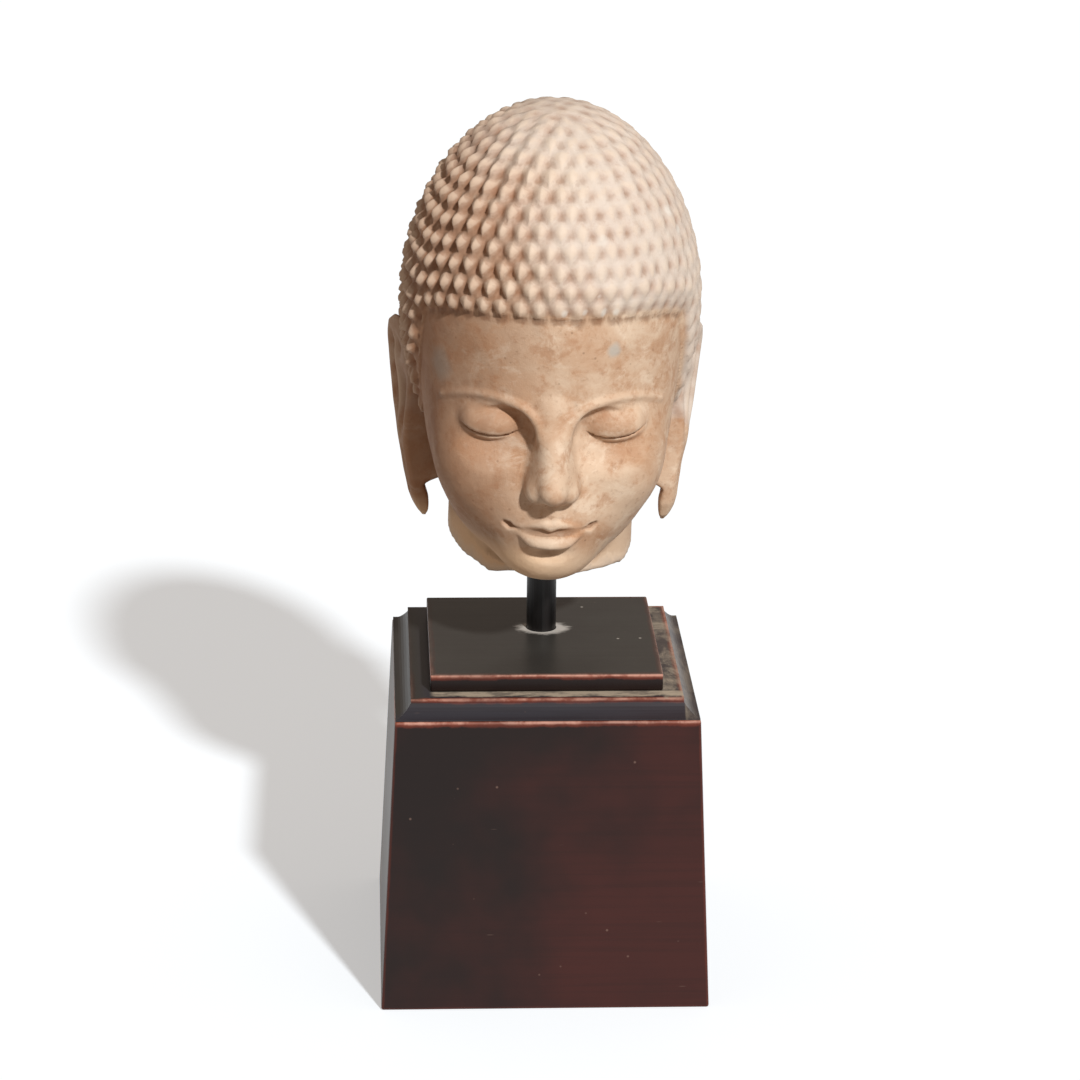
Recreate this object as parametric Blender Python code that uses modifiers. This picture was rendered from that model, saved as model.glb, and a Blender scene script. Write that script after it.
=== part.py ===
"""Carved stone head with snail-shell curls, carried on a rod and a stepped wooden stand.

The head is one block of stone: face, skull, curls, ears and the broken stump of the neck.
Everything in the head is drawn in parts of a millimetre in the head's own frame (chin at 0,
crown at 235, face toward -Y) and then tilted into place over the rod.
"""
import math

import bmesh
import bpy
import numpy as np
from mathutils import Matrix, Vector

# Stand and rod, metres
BLOCK_FOOT = 0.1750
BLOCK_TOP = 0.1600
BLOCK_HEIGHT = 0.1615
BLOCK_ARRIS = 0.0012
CAP_TOP = 0.1430
CAP_HEIGHT = 0.0092
CAP_LIP = 0.0022
CAP_ARRIS = 0.0004
CAP_FILLET = 0.0006
PLATE_SIDE = 0.1223
PLATE_HEIGHT = 0.0092
PLATE_ARRIS = 0.0008
PIECE_GAP = 0.0003
ROD_DIAMETER = 0.0160
ROD_ARRIS = 0.0006
ROD_CLEARANCE = 0.0003
ROD_PLACE = (0.0002, 0.0122)
ROD_IN_BLOCK = 0.0400
ROD_ABOVE_PLATE = 0.0935
HOLE_OVERRUN = 0.0100
SOCKET_START = 0.0020
COVE_STEPS = 6
COVE_CURVE = 1.8
ROD_SEGMENTS = 32

# Head canon: the head is 235 parts from the chin to the crown, and one part is a millimetre
HEAD_HEIGHT = 0.2350
CROWN = 235.0
PART = HEAD_HEIGHT / CROWN
HAIRLINE = 148.5
EYE = 88.0
EGG_CENTRE = np.array((0.0, 8.0, 132.0))
EGG_RADII = np.array((75.0, 88.0, 98.5))
CURL_PITCH = 10.1
CURL_ROW = 9.6
CURL_HEIGHT = 4.6
HAIR_DEPTH = 2.6
RIM_INSET = 1.5
RIM_LIFT = 1.6
EDGE_PITCH = 4.3
HAIR_ARM = 72.0
CURL_SEED = 3
NECK_CENTRE = 14.0
NECK_RADII = (49.5, 49.0)
NECK_END = -15.0
HEAD_PLACE = (-0.0010, 0.0015)
HEAD_ABOVE_PLATE = 0.0587
HEAD_PITCH = math.radians(5.0)
HEAD_ROLL = math.radians(1.3)
EAR_TOP = 112.5
EAR_LOBE = 4.0
LOBE_SPREAD = 3.0

# The rays that find the surface leave a short upright axis inside the head
AXIS_LOW = 40.0
AXIS_HIGH = 135.0
AXIS_BAND = 35.0

# Rows and columns of skin points, in degrees and counts
FACE_LOW = -45.5
FACE_HIGH = 13.0
FACE_ROW = 2.2
FACE_COLUMNS = 24
SIDE_ROW = 3.8
SIDE_COLUMNS = 12


# Solid shape functions: negative inside, positive outside
def ellipsoid(p, centre, radii):
    q = (p - np.array(centre)) / np.array(radii)
    k0 = np.sqrt((q * q).sum(1))
    q = q / np.array(radii)
    k1 = np.sqrt((q * q).sum(1))
    return k0 * (k0 - 1.0) / np.maximum(k1, 1e-9)


def tube(p, points, radii):
    points = np.array(points, float)
    radii = np.broadcast_to(np.array(radii, float), (len(points),))
    best = None
    for i in range(len(points) - 1):
        run = points[i + 1] - points[i]
        v = p - points[i]
        t = np.clip(v @ (run / (run @ run)), 0.0, 1.0)
        v = v - t[:, None] * run
        d = np.sqrt((v * v).sum(1)) - (radii[i] + (radii[i + 1] - radii[i]) * t)
        best = d if best is None else np.minimum(best, d)
    return best


def smooth_line(points, steps=3):
    p = np.array(points, float)
    q = np.vstack([2 * p[0] - p[1], p, 2 * p[-1] - p[-2]])
    line = []
    for i in range(1, len(q) - 2):
        a, b, c, d = q[i - 1:i + 3]
        for s in range(steps):
            t = s / steps
            line.append(0.5 * (2 * b + (c - a) * t + (2 * a - 5 * b + 4 * c - d) * t ** 2
                               + (3 * b - a - 3 * c + d) * t ** 3))
    line.append(q[-2])
    return np.array(line)


def add(a, b, blend):
    h = np.clip(0.5 + 0.5 * (b - a) / blend, 0.0, 1.0)
    return b * (1.0 - h) + a * h - blend * h * (1.0 - h)


def cut(a, b, blend):
    return -add(-a, b, blend)


def step(x, low, high):
    t = np.clip((x - low) / (high - low), 0.0, 1.0)
    return t * t * (3.0 - 2.0 * t)


def noise(p, size, seed):
    """Smooth lattice noise between -1 and 1."""
    q = p / size
    cell = np.floor(q).astype(np.int64)
    f = q - cell
    f = f * f * (3.0 - 2.0 * f)
    total = np.zeros(len(p))
    for corner in range(8):
        bit = np.array([(corner >> axis) & 1 for axis in range(3)])
        c = cell + bit
        h = (c[:, 0] * 73856093) ^ (c[:, 1] * 19349663) ^ (c[:, 2] * 83492791) ^ (seed * 2654435)
        h = (h ^ (h >> 13)) * 1274126177
        value = ((h ^ (h >> 16)) & 0xFFFF) / 32767.5 - 1.0
        total += value * np.prod(np.where(bit, f, 1.0 - f), axis=1)
    return total


# Skull, cheeks, jaw and the stump of the neck
def neck_break(p):
    """Height of the broken underside over the neck: a few flat flakes and some grain."""
    flakes = ((0, 0, 0, 0.00, 0.00), (42, -10, 1.5, 0.30, 0.05), (-42, -10, 7.5, -0.38, 0.00),
              (5, -34, 2.0, 0.04, -0.26), (-20, 44, 1.0, -0.12, 0.22), (26, 40, 2.5, 0.16, 0.18))
    height = np.full(len(p), -1e9)
    for x, y, rise, slope_x, slope_y in flakes:
        plane = rise + slope_x * (p[:, 0] - x) + slope_y * (p[:, 1] - NECK_CENTRE - y)
        height = np.maximum(height, plane)
    flat = p * (1.0, 1.0, 0.0)
    return NECK_END + height + 1.4 * noise(flat, 15.0, 5) + 0.4 * noise(flat, 7.0, 6)


def masses(p):
    m = p * (1.0, 1.0, 1.0)
    m[:, 0] = np.abs(m[:, 0])
    d = ellipsoid(m, (0, 8, 129), (72.8, 86, 99.8))
    d = add(d, ellipsoid(m, (0, -16, 84), (65, 62, 84)), 8)
    d = add(d, ellipsoid(m, (0, -28, 44), (50, 48, 45)), 12)
    d = add(d, ellipsoid(m, (32, -46, 62), (25, 25, 27)), 14)
    d = add(d, ellipsoid(m, (0, -50, 38), (32, 30, 25)), 14)
    d = add(d, ellipsoid(m, (0, -55, 14), (22, 21, 15)), 13)
    round_neck = np.sqrt((m[:, 0] / NECK_RADII[0]) ** 2 + ((m[:, 1] - NECK_CENTRE) / NECK_RADII[1]) ** 2)
    stump = np.maximum((round_neck - 1.0) * NECK_RADII[0], m[:, 2] - 60.0)
    stump = stump + 0.8 * noise(p, 14.0, 9) * step(-m[:, 2], 0.0, 12.0)
    stump = np.maximum(stump, neck_break(p) - p[:, 2])
    return add(d, stump, 8)


# Face of general proportions, worked on one half and mirrored
def features(m, d):
    x, z = m[:, 0], m[:, 2]
    blend = 1.0 + 8.0 * step(-z, -(EYE + 2), -(EYE - 12))
    d = cut(d, ellipsoid(m, (32, -81, 86), (28.5, 16.5, 18)), blend)
    brow = smooth_line([(56, -46.5, 96), (45, -59.5, 102), (31, -69.5, 104), (17, -75.5, 101),
                        (8.5, -78.5, 92)])
    d = add(d, tube(m, brow, np.linspace(1.2, 2.4, len(brow))), 5.0)
    d = add(d, tube(m, [(0, -71, 101), (0, -79, 86), (0, -87, 70), (0, -91.5, 61)],
                    [5.5, 5.8, 6.8, 8.6]), 5.0)
    d = add(d, ellipsoid(m, (9.0, -83.0, 57.5), (6.2, 9.0, 6.4)), 2.5)
    d = add(d, ellipsoid(m, (0, -79, 63), (12.5, 13, 12)), 5.0)
    d = cut(d, ellipsoid(m, (5.6, -90, 50.0), (3.2, 5.5, 2.4)), 1.0)
    lid = 83.5 + 0.011 * (x - 30) ** 2 + 0.05 * (x - 30)
    edge = 1.2 * step(z - lid, -1.2, 1.2) - 1.3 * np.exp(-((z - lid + 1.4) / 1.5) ** 2)
    edge = edge + 0.5 * np.exp(-((z - lid + 4.4) / 1.5) ** 2)
    edge = edge * step(x, 13, 18) * step(-x, -49, -43)
    d = add(d, ellipsoid(m, (31, -55, 88), (18, 16.5, 12)) - edge, 1.6)
    d = cut(d, tube(m, [(0, -83.5, 49), (0, -85, 42)], [2.0, 2.8]), 2.5)
    upper = smooth_line([(22, -71.0, 36.4), (14.5, -77.0, 36.8), (8.5, -80.3, 38.2), (3.5, -81.6, 39.0),
                         (0, -81.0, 38.2)])
    d = add(d, tube(m, upper, np.linspace(0.8, 3.2, len(upper))), 1.8)
    lower = smooth_line([(20, -71.5, 34.2), (13, -76.5, 30.6), (6.5, -79.0, 28.6), (0, -79.8, 28.2)])
    d = add(d, tube(m, lower, np.linspace(0.8, 4.2, len(lower))), 1.8)
    seam = smooth_line([(24, -72.5, 36.8), (16, -78.5, 34.9), (8, -82.2, 34.3), (3.5, -83.3, 33.8),
                        (0, -83.2, 33.2)])
    d = cut(d, tube(m, seam, 0.9), 0.8)
    d = cut(d, tube(m, [(24.5, -73, 36.8), (27, -72, 38.5)], [2.0, 1.0]), 2.5)
    return cut(d, ellipsoid(m, (0, -82.0, 20.5), (15, 6.5, 4.2)), 4.0)


def head_form(p):
    d = masses(p)
    m = p.copy()
    m[:, 0] = np.abs(m[:, 0])
    near = (m[:, 1] < -40) & (m[:, 0] < 64) & (m[:, 2] > -2) & (m[:, 2] < 122) & (np.abs(d) < 30)
    near = np.where(near)[0]
    if len(near):
        d[near] = features(m[near], d[near])
    return d


# Hair: rows of curls round an egg, ending at the hairline
def row_sag(turn):
    """How far a row of curls dips toward the temples, for an angle round the head in degrees."""
    return np.interp(np.abs(turn), (0.0, 20.0, 38.0, 50.0, 58.0, 65.0), (0.0, 0.5, 3.0, 6.0, 9.0, 13.0))


def hairline(turn):
    """Height where the hair ends, for an angle round the head in degrees from the face."""
    turns = (65.0, 69.0, 73.0, 78.0, 85.0, 93.0, 112.0, 180.0)
    drops = (0.0, 14.0, 30.0, 47.0, 61.0, 73.0, 94.0, 95.0)
    return HAIRLINE - row_sag(turn) - np.interp(np.abs(turn), turns, drops)


def turn_of(p):
    return np.degrees(np.arctan2(p[:, 0], -p[:, 1]))


def hair_edge():
    """Even stops along the hairline, as angle round the head and height."""
    fine = np.linspace(-180.0, 180.0, 2881)
    sweep = np.stack([np.radians(fine) * HAIR_ARM, hairline(fine)], 1)
    walk = np.concatenate([[0.0], np.cumsum(np.linalg.norm(np.diff(sweep, axis=0), axis=1))])
    stops = int(walk[-1] / EDGE_PITCH)
    along = np.interp((np.arange(stops) + 0.5) / stops * walk[-1], walk, fine)
    return along, hairline(along)


def on_arm(turn, height):
    around = np.radians(turn)
    return np.stack([np.sin(around) * HAIR_ARM, -np.cos(around) * HAIR_ARM, height], 1)


def from_edge(turn, height):
    """Distance from the hairline, positive in the hair."""
    along, level = hair_edge()
    away = np.hypot((turn[:, None] - along) * math.radians(HAIR_ARM), height[:, None] - level).min(1)
    return np.where(height > hairline(turn), away, -away)


def curl_centres():
    rng = np.random.default_rng(CURL_SEED)
    a, b, c = EGG_RADII
    girth = (a + b) / 2
    lat = np.linspace(-np.pi / 2, np.pi / 2, 4001)
    pace = np.hypot(girth * np.sin(lat), c * np.cos(lat))
    run = np.concatenate([[0.0], np.cumsum((pace[1:] + pace[:-1]) / 2 * np.diff(lat))])
    first = np.interp(math.asin((HAIRLINE + 4.0 - EGG_CENTRE[2]) / c), lat, run)
    rows = first + CURL_ROW * np.arange(-30, 40)
    rows = rows[(rows > 0.0) & (rows < run[-1] - CURL_ROW * 0.3)]
    found = []
    for k, beta in enumerate(np.interp(rows, run, lat)):
        ra, rb = a * math.cos(beta), b * math.cos(beta)
        t = np.linspace(0.0, 2.0 * np.pi, 721)
        side, depth = ra * np.sin(t), -rb * np.cos(t)
        walk = np.concatenate([[0.0], np.cumsum(np.hypot(np.diff(side), np.diff(depth)))])
        count = max(1, round(walk[-1] / CURL_PITCH))
        for u in np.interp((np.arange(count) + 0.5 * (k % 2)) / count * walk[-1], walk, t):
            found.append((ra * math.sin(u), -rb * math.cos(u), c * math.sin(beta)))
    found = np.array(found) + EGG_CENTRE
    found[:, 2] -= row_sag(turn_of(found)) * np.clip((CROWN - found[:, 2]) / (CROWN - HAIRLINE), 0.0, 1.0)
    found = found + rng.normal(0.0, 0.35, found.shape)
    return found[from_edge(turn_of(found), found[:, 2]) > 3.4]


# Rays: every point of the surface has a turn and a level on a round map
def to_map(p):
    reach = np.hypot(p[:, 0], p[:, 1])
    middle = ((p[:, 2] - AXIS_LOW) / (AXIS_HIGH - AXIS_LOW) * 2.0 - 1.0) * AXIS_BAND
    above = AXIS_BAND + np.degrees(np.arctan2(p[:, 2] - AXIS_HIGH, reach)) / 90.0 * (90.0 - AXIS_BAND)
    below = -AXIS_BAND + np.degrees(np.arctan2(p[:, 2] - AXIS_LOW, reach)) / 90.0 * (90.0 - AXIS_BAND)
    level = np.where(p[:, 2] > AXIS_HIGH, above, np.where(p[:, 2] < AXIS_LOW, below, middle))
    return np.radians(turn_of(p)), np.radians(level)


def rays(turn, level):
    degrees = np.degrees(level)
    share = np.clip((degrees + AXIS_BAND) / (2.0 * AXIS_BAND), 0.0, 1.0)
    tilt = np.sign(degrees) * np.clip(np.abs(degrees) - AXIS_BAND, 0.0, 90.0) / (90.0 - AXIS_BAND)
    tilt = tilt * math.pi / 2.0
    way = np.stack([np.sin(turn) * np.cos(tilt), -np.cos(turn) * np.cos(tilt), np.sin(tilt)], 1)
    start = np.zeros_like(way)
    start[:, 2] = AXIS_LOW + (AXIS_HIGH - AXIS_LOW) * share
    return start, way


def reach_surface(form, turn, level, reach, rounds=60, near=0.02):
    start, way = rays(turn, level)
    reach = reach.copy()
    live = np.arange(len(way))
    for _ in range(rounds):
        d = form(start[live] + way[live] * reach[live, None])
        reach[live] -= d * 0.8
        live = live[np.abs(d) > near]
        if not len(live):
            break
    return start + way * reach[:, None]


def surface(turn, level):
    start, way = rays(turn, level)
    rough = reach_surface(masses, turn, level, np.full(len(turn), 125.0), 50, 0.2)
    reach = ((rough - start) * way).sum(1)
    front = (np.cos(turn) > 0.3) & (rough[:, 2] > 40) & (rough[:, 2] < 120)
    return reach_surface(head_form, turn, level, reach + np.where(front, 26.0, 6.0))


# Skin points: close together over the face, wider apart on the sides and the stump
def skin_map():
    points = []
    underside = ((-88.0, 40.0), (-76.0, 16.0), (-67.0, 12.0), (-61.0, 10.0), (-56.5, 8.5), (-52.5, 7.6),
                 (-49.0, 6.6))
    for level, spread in underside:
        count = max(5, round(360.0 / spread))
        turns = (np.arange(count) + 0.5 * (len(points) % 2)) / count * 360.0 - 180.0
        points.append(np.stack([turns, np.full(count, level)], 1))
    level = FACE_LOW
    k = 0
    while level < 47.0:
        face = level < FACE_HIGH
        count = FACE_COLUMNS if face else SIDE_COLUMNS
        half = (np.arange(1, count + 1) - 0.5 * (k % 2)) / count
        turns = 118.0 * (0.34 * half + 0.66 * half ** 2.2) if face else 118.0 * half ** 1.2
        turns = np.concatenate([-turns[::-1], [0.0] if k % 2 == 0 else [], turns])
        points.append(np.stack([turns, np.full(len(turns), level)], 1))
        level += FACE_ROW if face else SIDE_ROW
        k += 1
    back = np.arange(122.0, 239.0, 9.0)
    for i, level in enumerate(np.arange(FACE_LOW, -8.0, 6.0)):
        turns = (back + 4.5 * (i % 2) + 180.0) % 360.0 - 180.0
        points.append(np.stack([turns, np.full(len(turns), level)], 1))
    return np.radians(np.vstack(points))


def round_map(turn, level):
    flat = np.cos(level)
    return np.stack([np.sin(turn) * flat, -np.cos(turn) * flat, np.sin(level)], 1)


def wrap(directions):
    """Triangles of the tight skin round points on a unit ball."""
    bm = bmesh.new()
    for i, d in enumerate(directions):
        bm.verts.new(d)
    bm.verts.ensure_lookup_table()
    bm.verts.index_update()
    bmesh.ops.convex_hull(bm, input=list(bm.verts), use_existing_faces=False)
    bmesh.ops.triangulate(bm, faces=list(bm.faces))
    bm.normal_update()
    triangles = []
    for face in bm.faces:
        ids = [v.index for v in face.verts]
        if face.normal.dot(face.calc_center_median()) < 0.0:
            ids = ids[::-1]
        triangles.append(ids)
    bm.free()
    return triangles


def head_mesh():
    peaks = curl_centres()
    peak_turn, peak_level = to_map(peaks)
    along, edge_height = hair_edge()
    edge_turn, edge_level = to_map(on_arm(along, edge_height))
    slope = np.gradient(np.stack([np.radians(along) * HAIR_ARM, edge_height], 1), axis=0)
    slope = slope / np.linalg.norm(slope, axis=1)[:, None] * RIM_INSET
    rim_along = along - np.degrees(slope[:, 1] / HAIR_ARM)
    rim_turn, rim_level = to_map(on_arm(rim_along, edge_height + slope[:, 0]))
    net = round_map(np.concatenate([peak_turn, edge_turn]), np.concatenate([peak_level, edge_level]))
    dips = []
    for ids in wrap(net):
        if max(ids) < len(peaks):
            dips.append(peaks[ids].mean(0))
    dip_turn, dip_level = to_map(np.array(dips))
    skin = skin_map()
    spots = surface(skin[:, 0], skin[:, 1])
    skin = skin[from_edge(np.degrees(skin[:, 0]), spots[:, 2]) < -2.6]
    turn = np.concatenate([peak_turn, dip_turn, rim_turn, edge_turn, skin[:, 0]])
    level = np.concatenate([peak_level, dip_level, rim_level, edge_level, skin[:, 1]])
    points = surface(turn, level)
    hair = slice(0, len(peaks) + len(dips) + len(rim_turn))
    out = points - EGG_CENTRE
    out = out / np.linalg.norm(out, axis=1)[:, None]
    lift = np.zeros(len(points))
    lift[hair] = HAIR_DEPTH
    lift[len(peaks) + len(dips):len(peaks) + len(dips) + len(rim_turn)] = RIM_LIFT
    above = from_edge(turn_of(peaks), peaks[:, 2])
    lift[:len(peaks)] += CURL_HEIGHT * (0.75 + 0.25 * step(above, 2.0, 14.0))
    points[hair] = points[hair] + out[hair] * lift[hair, None]
    mesh = bpy.data.meshes.new("stone_head")
    mesh.from_pydata((points * PART).tolist(), [], wrap(round_map(turn, level)))
    mesh.update()
    return mesh


# Ears: a long leaf with a raised rim, a hollow and a lobe that hangs free of the jaw
def ear_line(share):
    """Front edge and rear edge (Y) and outer reach (X), from 0 at the lobe's end to 1 at the top."""
    keys = (0.00, 0.03, 0.10, 0.22, 0.38, 0.55, 0.72, 0.86, 0.95, 1.00)
    front = np.interp(share, keys, (10.0, 6.5, 4.0, 3.5, 5.5, 6.0, 5.0, 7.0, 12.0, 20.0))
    rear = np.interp(share, keys, (14.0, 18.0, 21.0, 22.0, 23.5, 29.0, 34.5, 36.5, 33.0, 25.0))
    reach = np.interp(share, keys, (63.5, 65.5, 68.5, 72.0, 75.3, 78.8, 81.3, 82.8, 82.8, 80.5))
    return front, rear, reach


def ear_relief(u, share):
    """Depth below the rim, for u from -1 at the front edge to 1 at the rear edge."""
    edge = 1.0 - np.abs(u) ** 4
    hollow = np.exp(-((u + 0.20) / 0.40) ** 2 - ((share - 0.60) / 0.13) ** 2)
    groove = np.exp(-((u - 0.50) / 0.17) ** 2) * step(share, 0.42, 0.56) * (1.0 - step(share, 0.86, 0.95))
    fork = np.exp(-((u + 0.05) / 0.30) ** 2 - ((share - 0.86) / 0.05) ** 2)
    slit = np.exp(-(u / 0.34) ** 2) * step(share, 0.07, 0.16) * (1.0 - step(share, 0.30, 0.40))
    return (8.0 * hollow + 3.2 * groove + 3.0 * fork + 2.2 * slit) * edge


def ear_mesh(name, side, around, rows):
    shares = 0.5 - 0.5 * np.cos(np.linspace(0.0, math.pi, rows))
    angles = np.arange(around) / around * 2.0 * math.pi
    share, angle = np.meshgrid(shares, angles, indexing="ij")
    share, angle = share.ravel(), angle.ravel()
    front, rear, reach = ear_line(share)
    u = np.cos(angle)
    half = (rear - front) / 2.0
    low = 1.0 - step(share, 0.0, 0.30)
    if side > 0.0:
        reach = reach + LOBE_SPREAD * low
    swell = np.sign(np.sin(angle)) * np.abs(np.sin(angle)) ** 0.6
    outer = np.sin(angle) > 0.0
    ends = np.minimum(1.0, np.sqrt(np.clip(4.0 * share * (1.0 - share), 0.02, 1.0)) * 1.6)
    thick = (4.3 + 1.0 * low) * ends
    root = (12.0 + 14.0 * (1.0 - step(share, 0.30, 0.62))) * step(share, 0.17, 0.27)
    root = root * (1.0 - step(share, 0.96, 1.0))
    flare = 0.20 + 0.20 * step(share, 0.30, 0.80)
    x = reach - (1.0 - u) * half * flare + thick * (swell - 0.2)
    x = x - np.where(outer, ear_relief(u, share), -root * swell)
    y = (front + rear) / 2.0 + half * u
    z = EAR_LOBE + (EAR_TOP - EAR_LOBE) * share
    points = np.stack([side * x, y, z], 1) * PART
    faces = []
    for r in range(rows - 1):
        for a in range(around):
            b = (a + 1) % around
            faces.append((r * around + a, r * around + b, (r + 1) * around + b, (r + 1) * around + a))
    faces.append(tuple(range(around))[::-1])
    faces.append(tuple(range((rows - 1) * around, rows * around)))
    if side < 0:
        faces = [f[::-1] for f in faces]
    mesh = bpy.data.meshes.new(name)
    mesh.from_pydata(points.tolist(), [], faces)
    mesh.update()
    return mesh


# Scene, collections and materials
def clear_scene():
    for obj in list(bpy.data.objects):
        bpy.data.objects.remove(obj, do_unlink=True)


def new_collection(name):
    collection = bpy.data.collections.new(name)
    bpy.context.scene.collection.children.link(collection)
    return collection


def new_material(name, color, roughness, metallic=0.0):
    material = bpy.data.materials.new(name)
    material.use_nodes = True
    shader = material.node_tree.nodes["Principled BSDF"]
    shader.inputs["Base Color"].default_value = (*color, 1.0)
    shader.inputs["Roughness"].default_value = roughness
    shader.inputs["Metallic"].default_value = metallic
    return material


def keep(obj, name, material, collection):
    obj.name = name
    obj.data.name = name
    obj.data.materials.clear()
    obj.data.materials.append(material)
    for old in list(obj.users_collection):
        old.objects.unlink(obj)
    collection.objects.link(obj)
    return obj


def keep_cutter(obj, name, collection):
    obj.name = name
    for old in list(obj.users_collection):
        old.objects.unlink(obj)
    collection.objects.link(obj)
    obj.hide_render = True
    obj.display_type = "WIRE"
    return obj


def boolean(obj, other, operation, name):
    modifier = obj.modifiers.new(name, "BOOLEAN")
    modifier.operation = operation
    modifier.solver = "EXACT"
    modifier.object = other


def bevel(obj, width, angle=30.0):
    modifier = obj.modifiers.new("arris", "BEVEL")
    modifier.width = width
    modifier.segments = 2
    modifier.limit_method = "ANGLE"
    modifier.angle_limit = math.radians(angle)


def bake_turn(obj):
    bpy.context.view_layer.update()
    obj.data.transform(obj.matrix_basis)
    obj.matrix_basis = Matrix.Identity(4)


def square_frustum(foot, top, height, z):
    """A square block that narrows upward, its underside at z."""
    bpy.ops.mesh.primitive_cone_add(vertices=4, radius1=foot / math.sqrt(2.0), radius2=top / math.sqrt(2.0),
                                    depth=height, location=(0.0, 0.0, z + height / 2.0),
                                    rotation=(0.0, 0.0, math.radians(45.0)))
    obj = bpy.context.active_object
    bake_turn(obj)
    return obj


def rod_cylinder(diameter, low, high, segments=ROD_SEGMENTS):
    bpy.ops.mesh.primitive_cylinder_add(vertices=segments, radius=diameter / 2.0, depth=high - low,
                                        location=(*ROD_PLACE, (low + high) / 2.0))
    return bpy.context.active_object


def square_cove(z):
    """Cove moulding, square in plan: a profile carried round the four corners."""
    corner = math.sqrt(2.0)
    outer, inner = BLOCK_TOP / 2.0 - CAP_ARRIS, CAP_TOP / 2.0
    drop = CAP_HEIGHT - CAP_LIP
    profile = [(0.0, z + CAP_HEIGHT), (inner, z + CAP_HEIGHT), (inner, z + drop)]
    for i in range(1, COVE_STEPS + 1):
        share = i / COVE_STEPS
        profile.append((inner + (outer - inner) * share,
                        z + CAP_FILLET + (drop - CAP_FILLET) * (1.0 - share) ** COVE_CURVE))
    profile = profile + [(outer, z), (0.0, z)]
    mesh = bpy.data.meshes.new("stand_cap")
    points = [(x * corner, 0.0, height) for x, height in profile]
    mesh.from_pydata(points, [(i, i + 1) for i in range(len(points) - 1)], [])
    obj = bpy.data.objects.new("stand_cap", mesh)
    bpy.context.scene.collection.objects.link(obj)
    screw = obj.modifiers.new("turn", "SCREW")
    screw.axis = "Z"
    screw.steps = 4
    screw.render_steps = 4
    screw.use_merge_vertices = True
    screw.merge_threshold = 0.00001
    screw.use_smooth_shade = False
    obj.data.transform(Matrix.Rotation(math.radians(45.0), 4, "Z"))
    return obj


def build():
    clear_scene()
    parts = new_collection("stone_buddha_head")
    cutters = new_collection("cutters")
    stone = new_material("worn_stone", (0.55, 0.40, 0.28), 0.85)
    wood = new_material("dark_lacquered_wood", (0.030, 0.014, 0.011), 0.35)
    iron = new_material("blackened_rod", (0.012, 0.011, 0.011), 0.35, 1.0)

    cap_z = BLOCK_HEIGHT + PIECE_GAP
    plate_z = cap_z + CAP_HEIGHT + PIECE_GAP
    plate_top = plate_z + PLATE_HEIGHT
    rod_low = BLOCK_HEIGHT - ROD_IN_BLOCK
    rod_top = plate_top + ROD_ABOVE_PLATE
    hole = ROD_DIAMETER + 2.0 * ROD_CLEARANCE

    block = keep(square_frustum(BLOCK_FOOT, BLOCK_TOP, BLOCK_HEIGHT, 0.0), "stand_block", wood, parts)
    bevel(block, BLOCK_ARRIS)
    cap = keep(square_cove(cap_z), "stand_cap", wood, parts)
    plate = keep(square_frustum(PLATE_SIDE, PLATE_SIDE, PLATE_HEIGHT, plate_z), "stand_plate", wood, parts)
    bevel(plate, PLATE_ARRIS)
    rod = keep(rod_cylinder(ROD_DIAMETER, rod_low, rod_top), "mounting_rod", iron, parts)
    bevel(rod, ROD_ARRIS)

    stand_hole = rod_cylinder(hole, rod_low - PIECE_GAP, plate_top + HOLE_OVERRUN)
    stand_hole = keep_cutter(stand_hole, "stand_hole", cutters)
    boolean(block, stand_hole, "DIFFERENCE", "rod_hole")
    boolean(cap, stand_hole, "DIFFERENCE", "rod_hole")
    boolean(plate, stand_hole, "DIFFERENCE", "rod_hole")

    chin = (*HEAD_PLACE, plate_top + HEAD_ABOVE_PLATE)
    place = (Matrix.Translation(chin) @ Matrix.Rotation(HEAD_ROLL, 4, "Y")
             @ Matrix.Rotation(HEAD_PITCH, 4, "X"))
    head = bpy.data.objects.new("stone_head", head_mesh())
    bpy.context.scene.collection.objects.link(head)
    head.data.transform(place)
    keep(head, "stone_head", stone, parts)
    for side, name in ((-1.0, "ear_left"), (1.0, "ear_right")):
        ear = bpy.data.objects.new(name, ear_mesh(name, side, 24, 20))
        bpy.context.scene.collection.objects.link(ear)
        ear.data.transform(place)
        keep_cutter(ear, name, cutters)
        boolean(head, ear, "UNION", name)
    socket = rod_cylinder(hole, plate_top + SOCKET_START, rod_top + PIECE_GAP)
    boolean(head, keep_cutter(socket, "rod_socket", cutters), "DIFFERENCE", "rod_socket")


build()
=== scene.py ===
# %% [markdown]
# A carved stone head on a rod and a stepped wooden stand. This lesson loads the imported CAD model,
# works the head again at a finer grain, and gives the stone, the lacquer and the rod their finishes.

# %% Load the frame
import math
import bpy
import numpy as np
from mathutils import Matrix, Vector, kdtree


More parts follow.
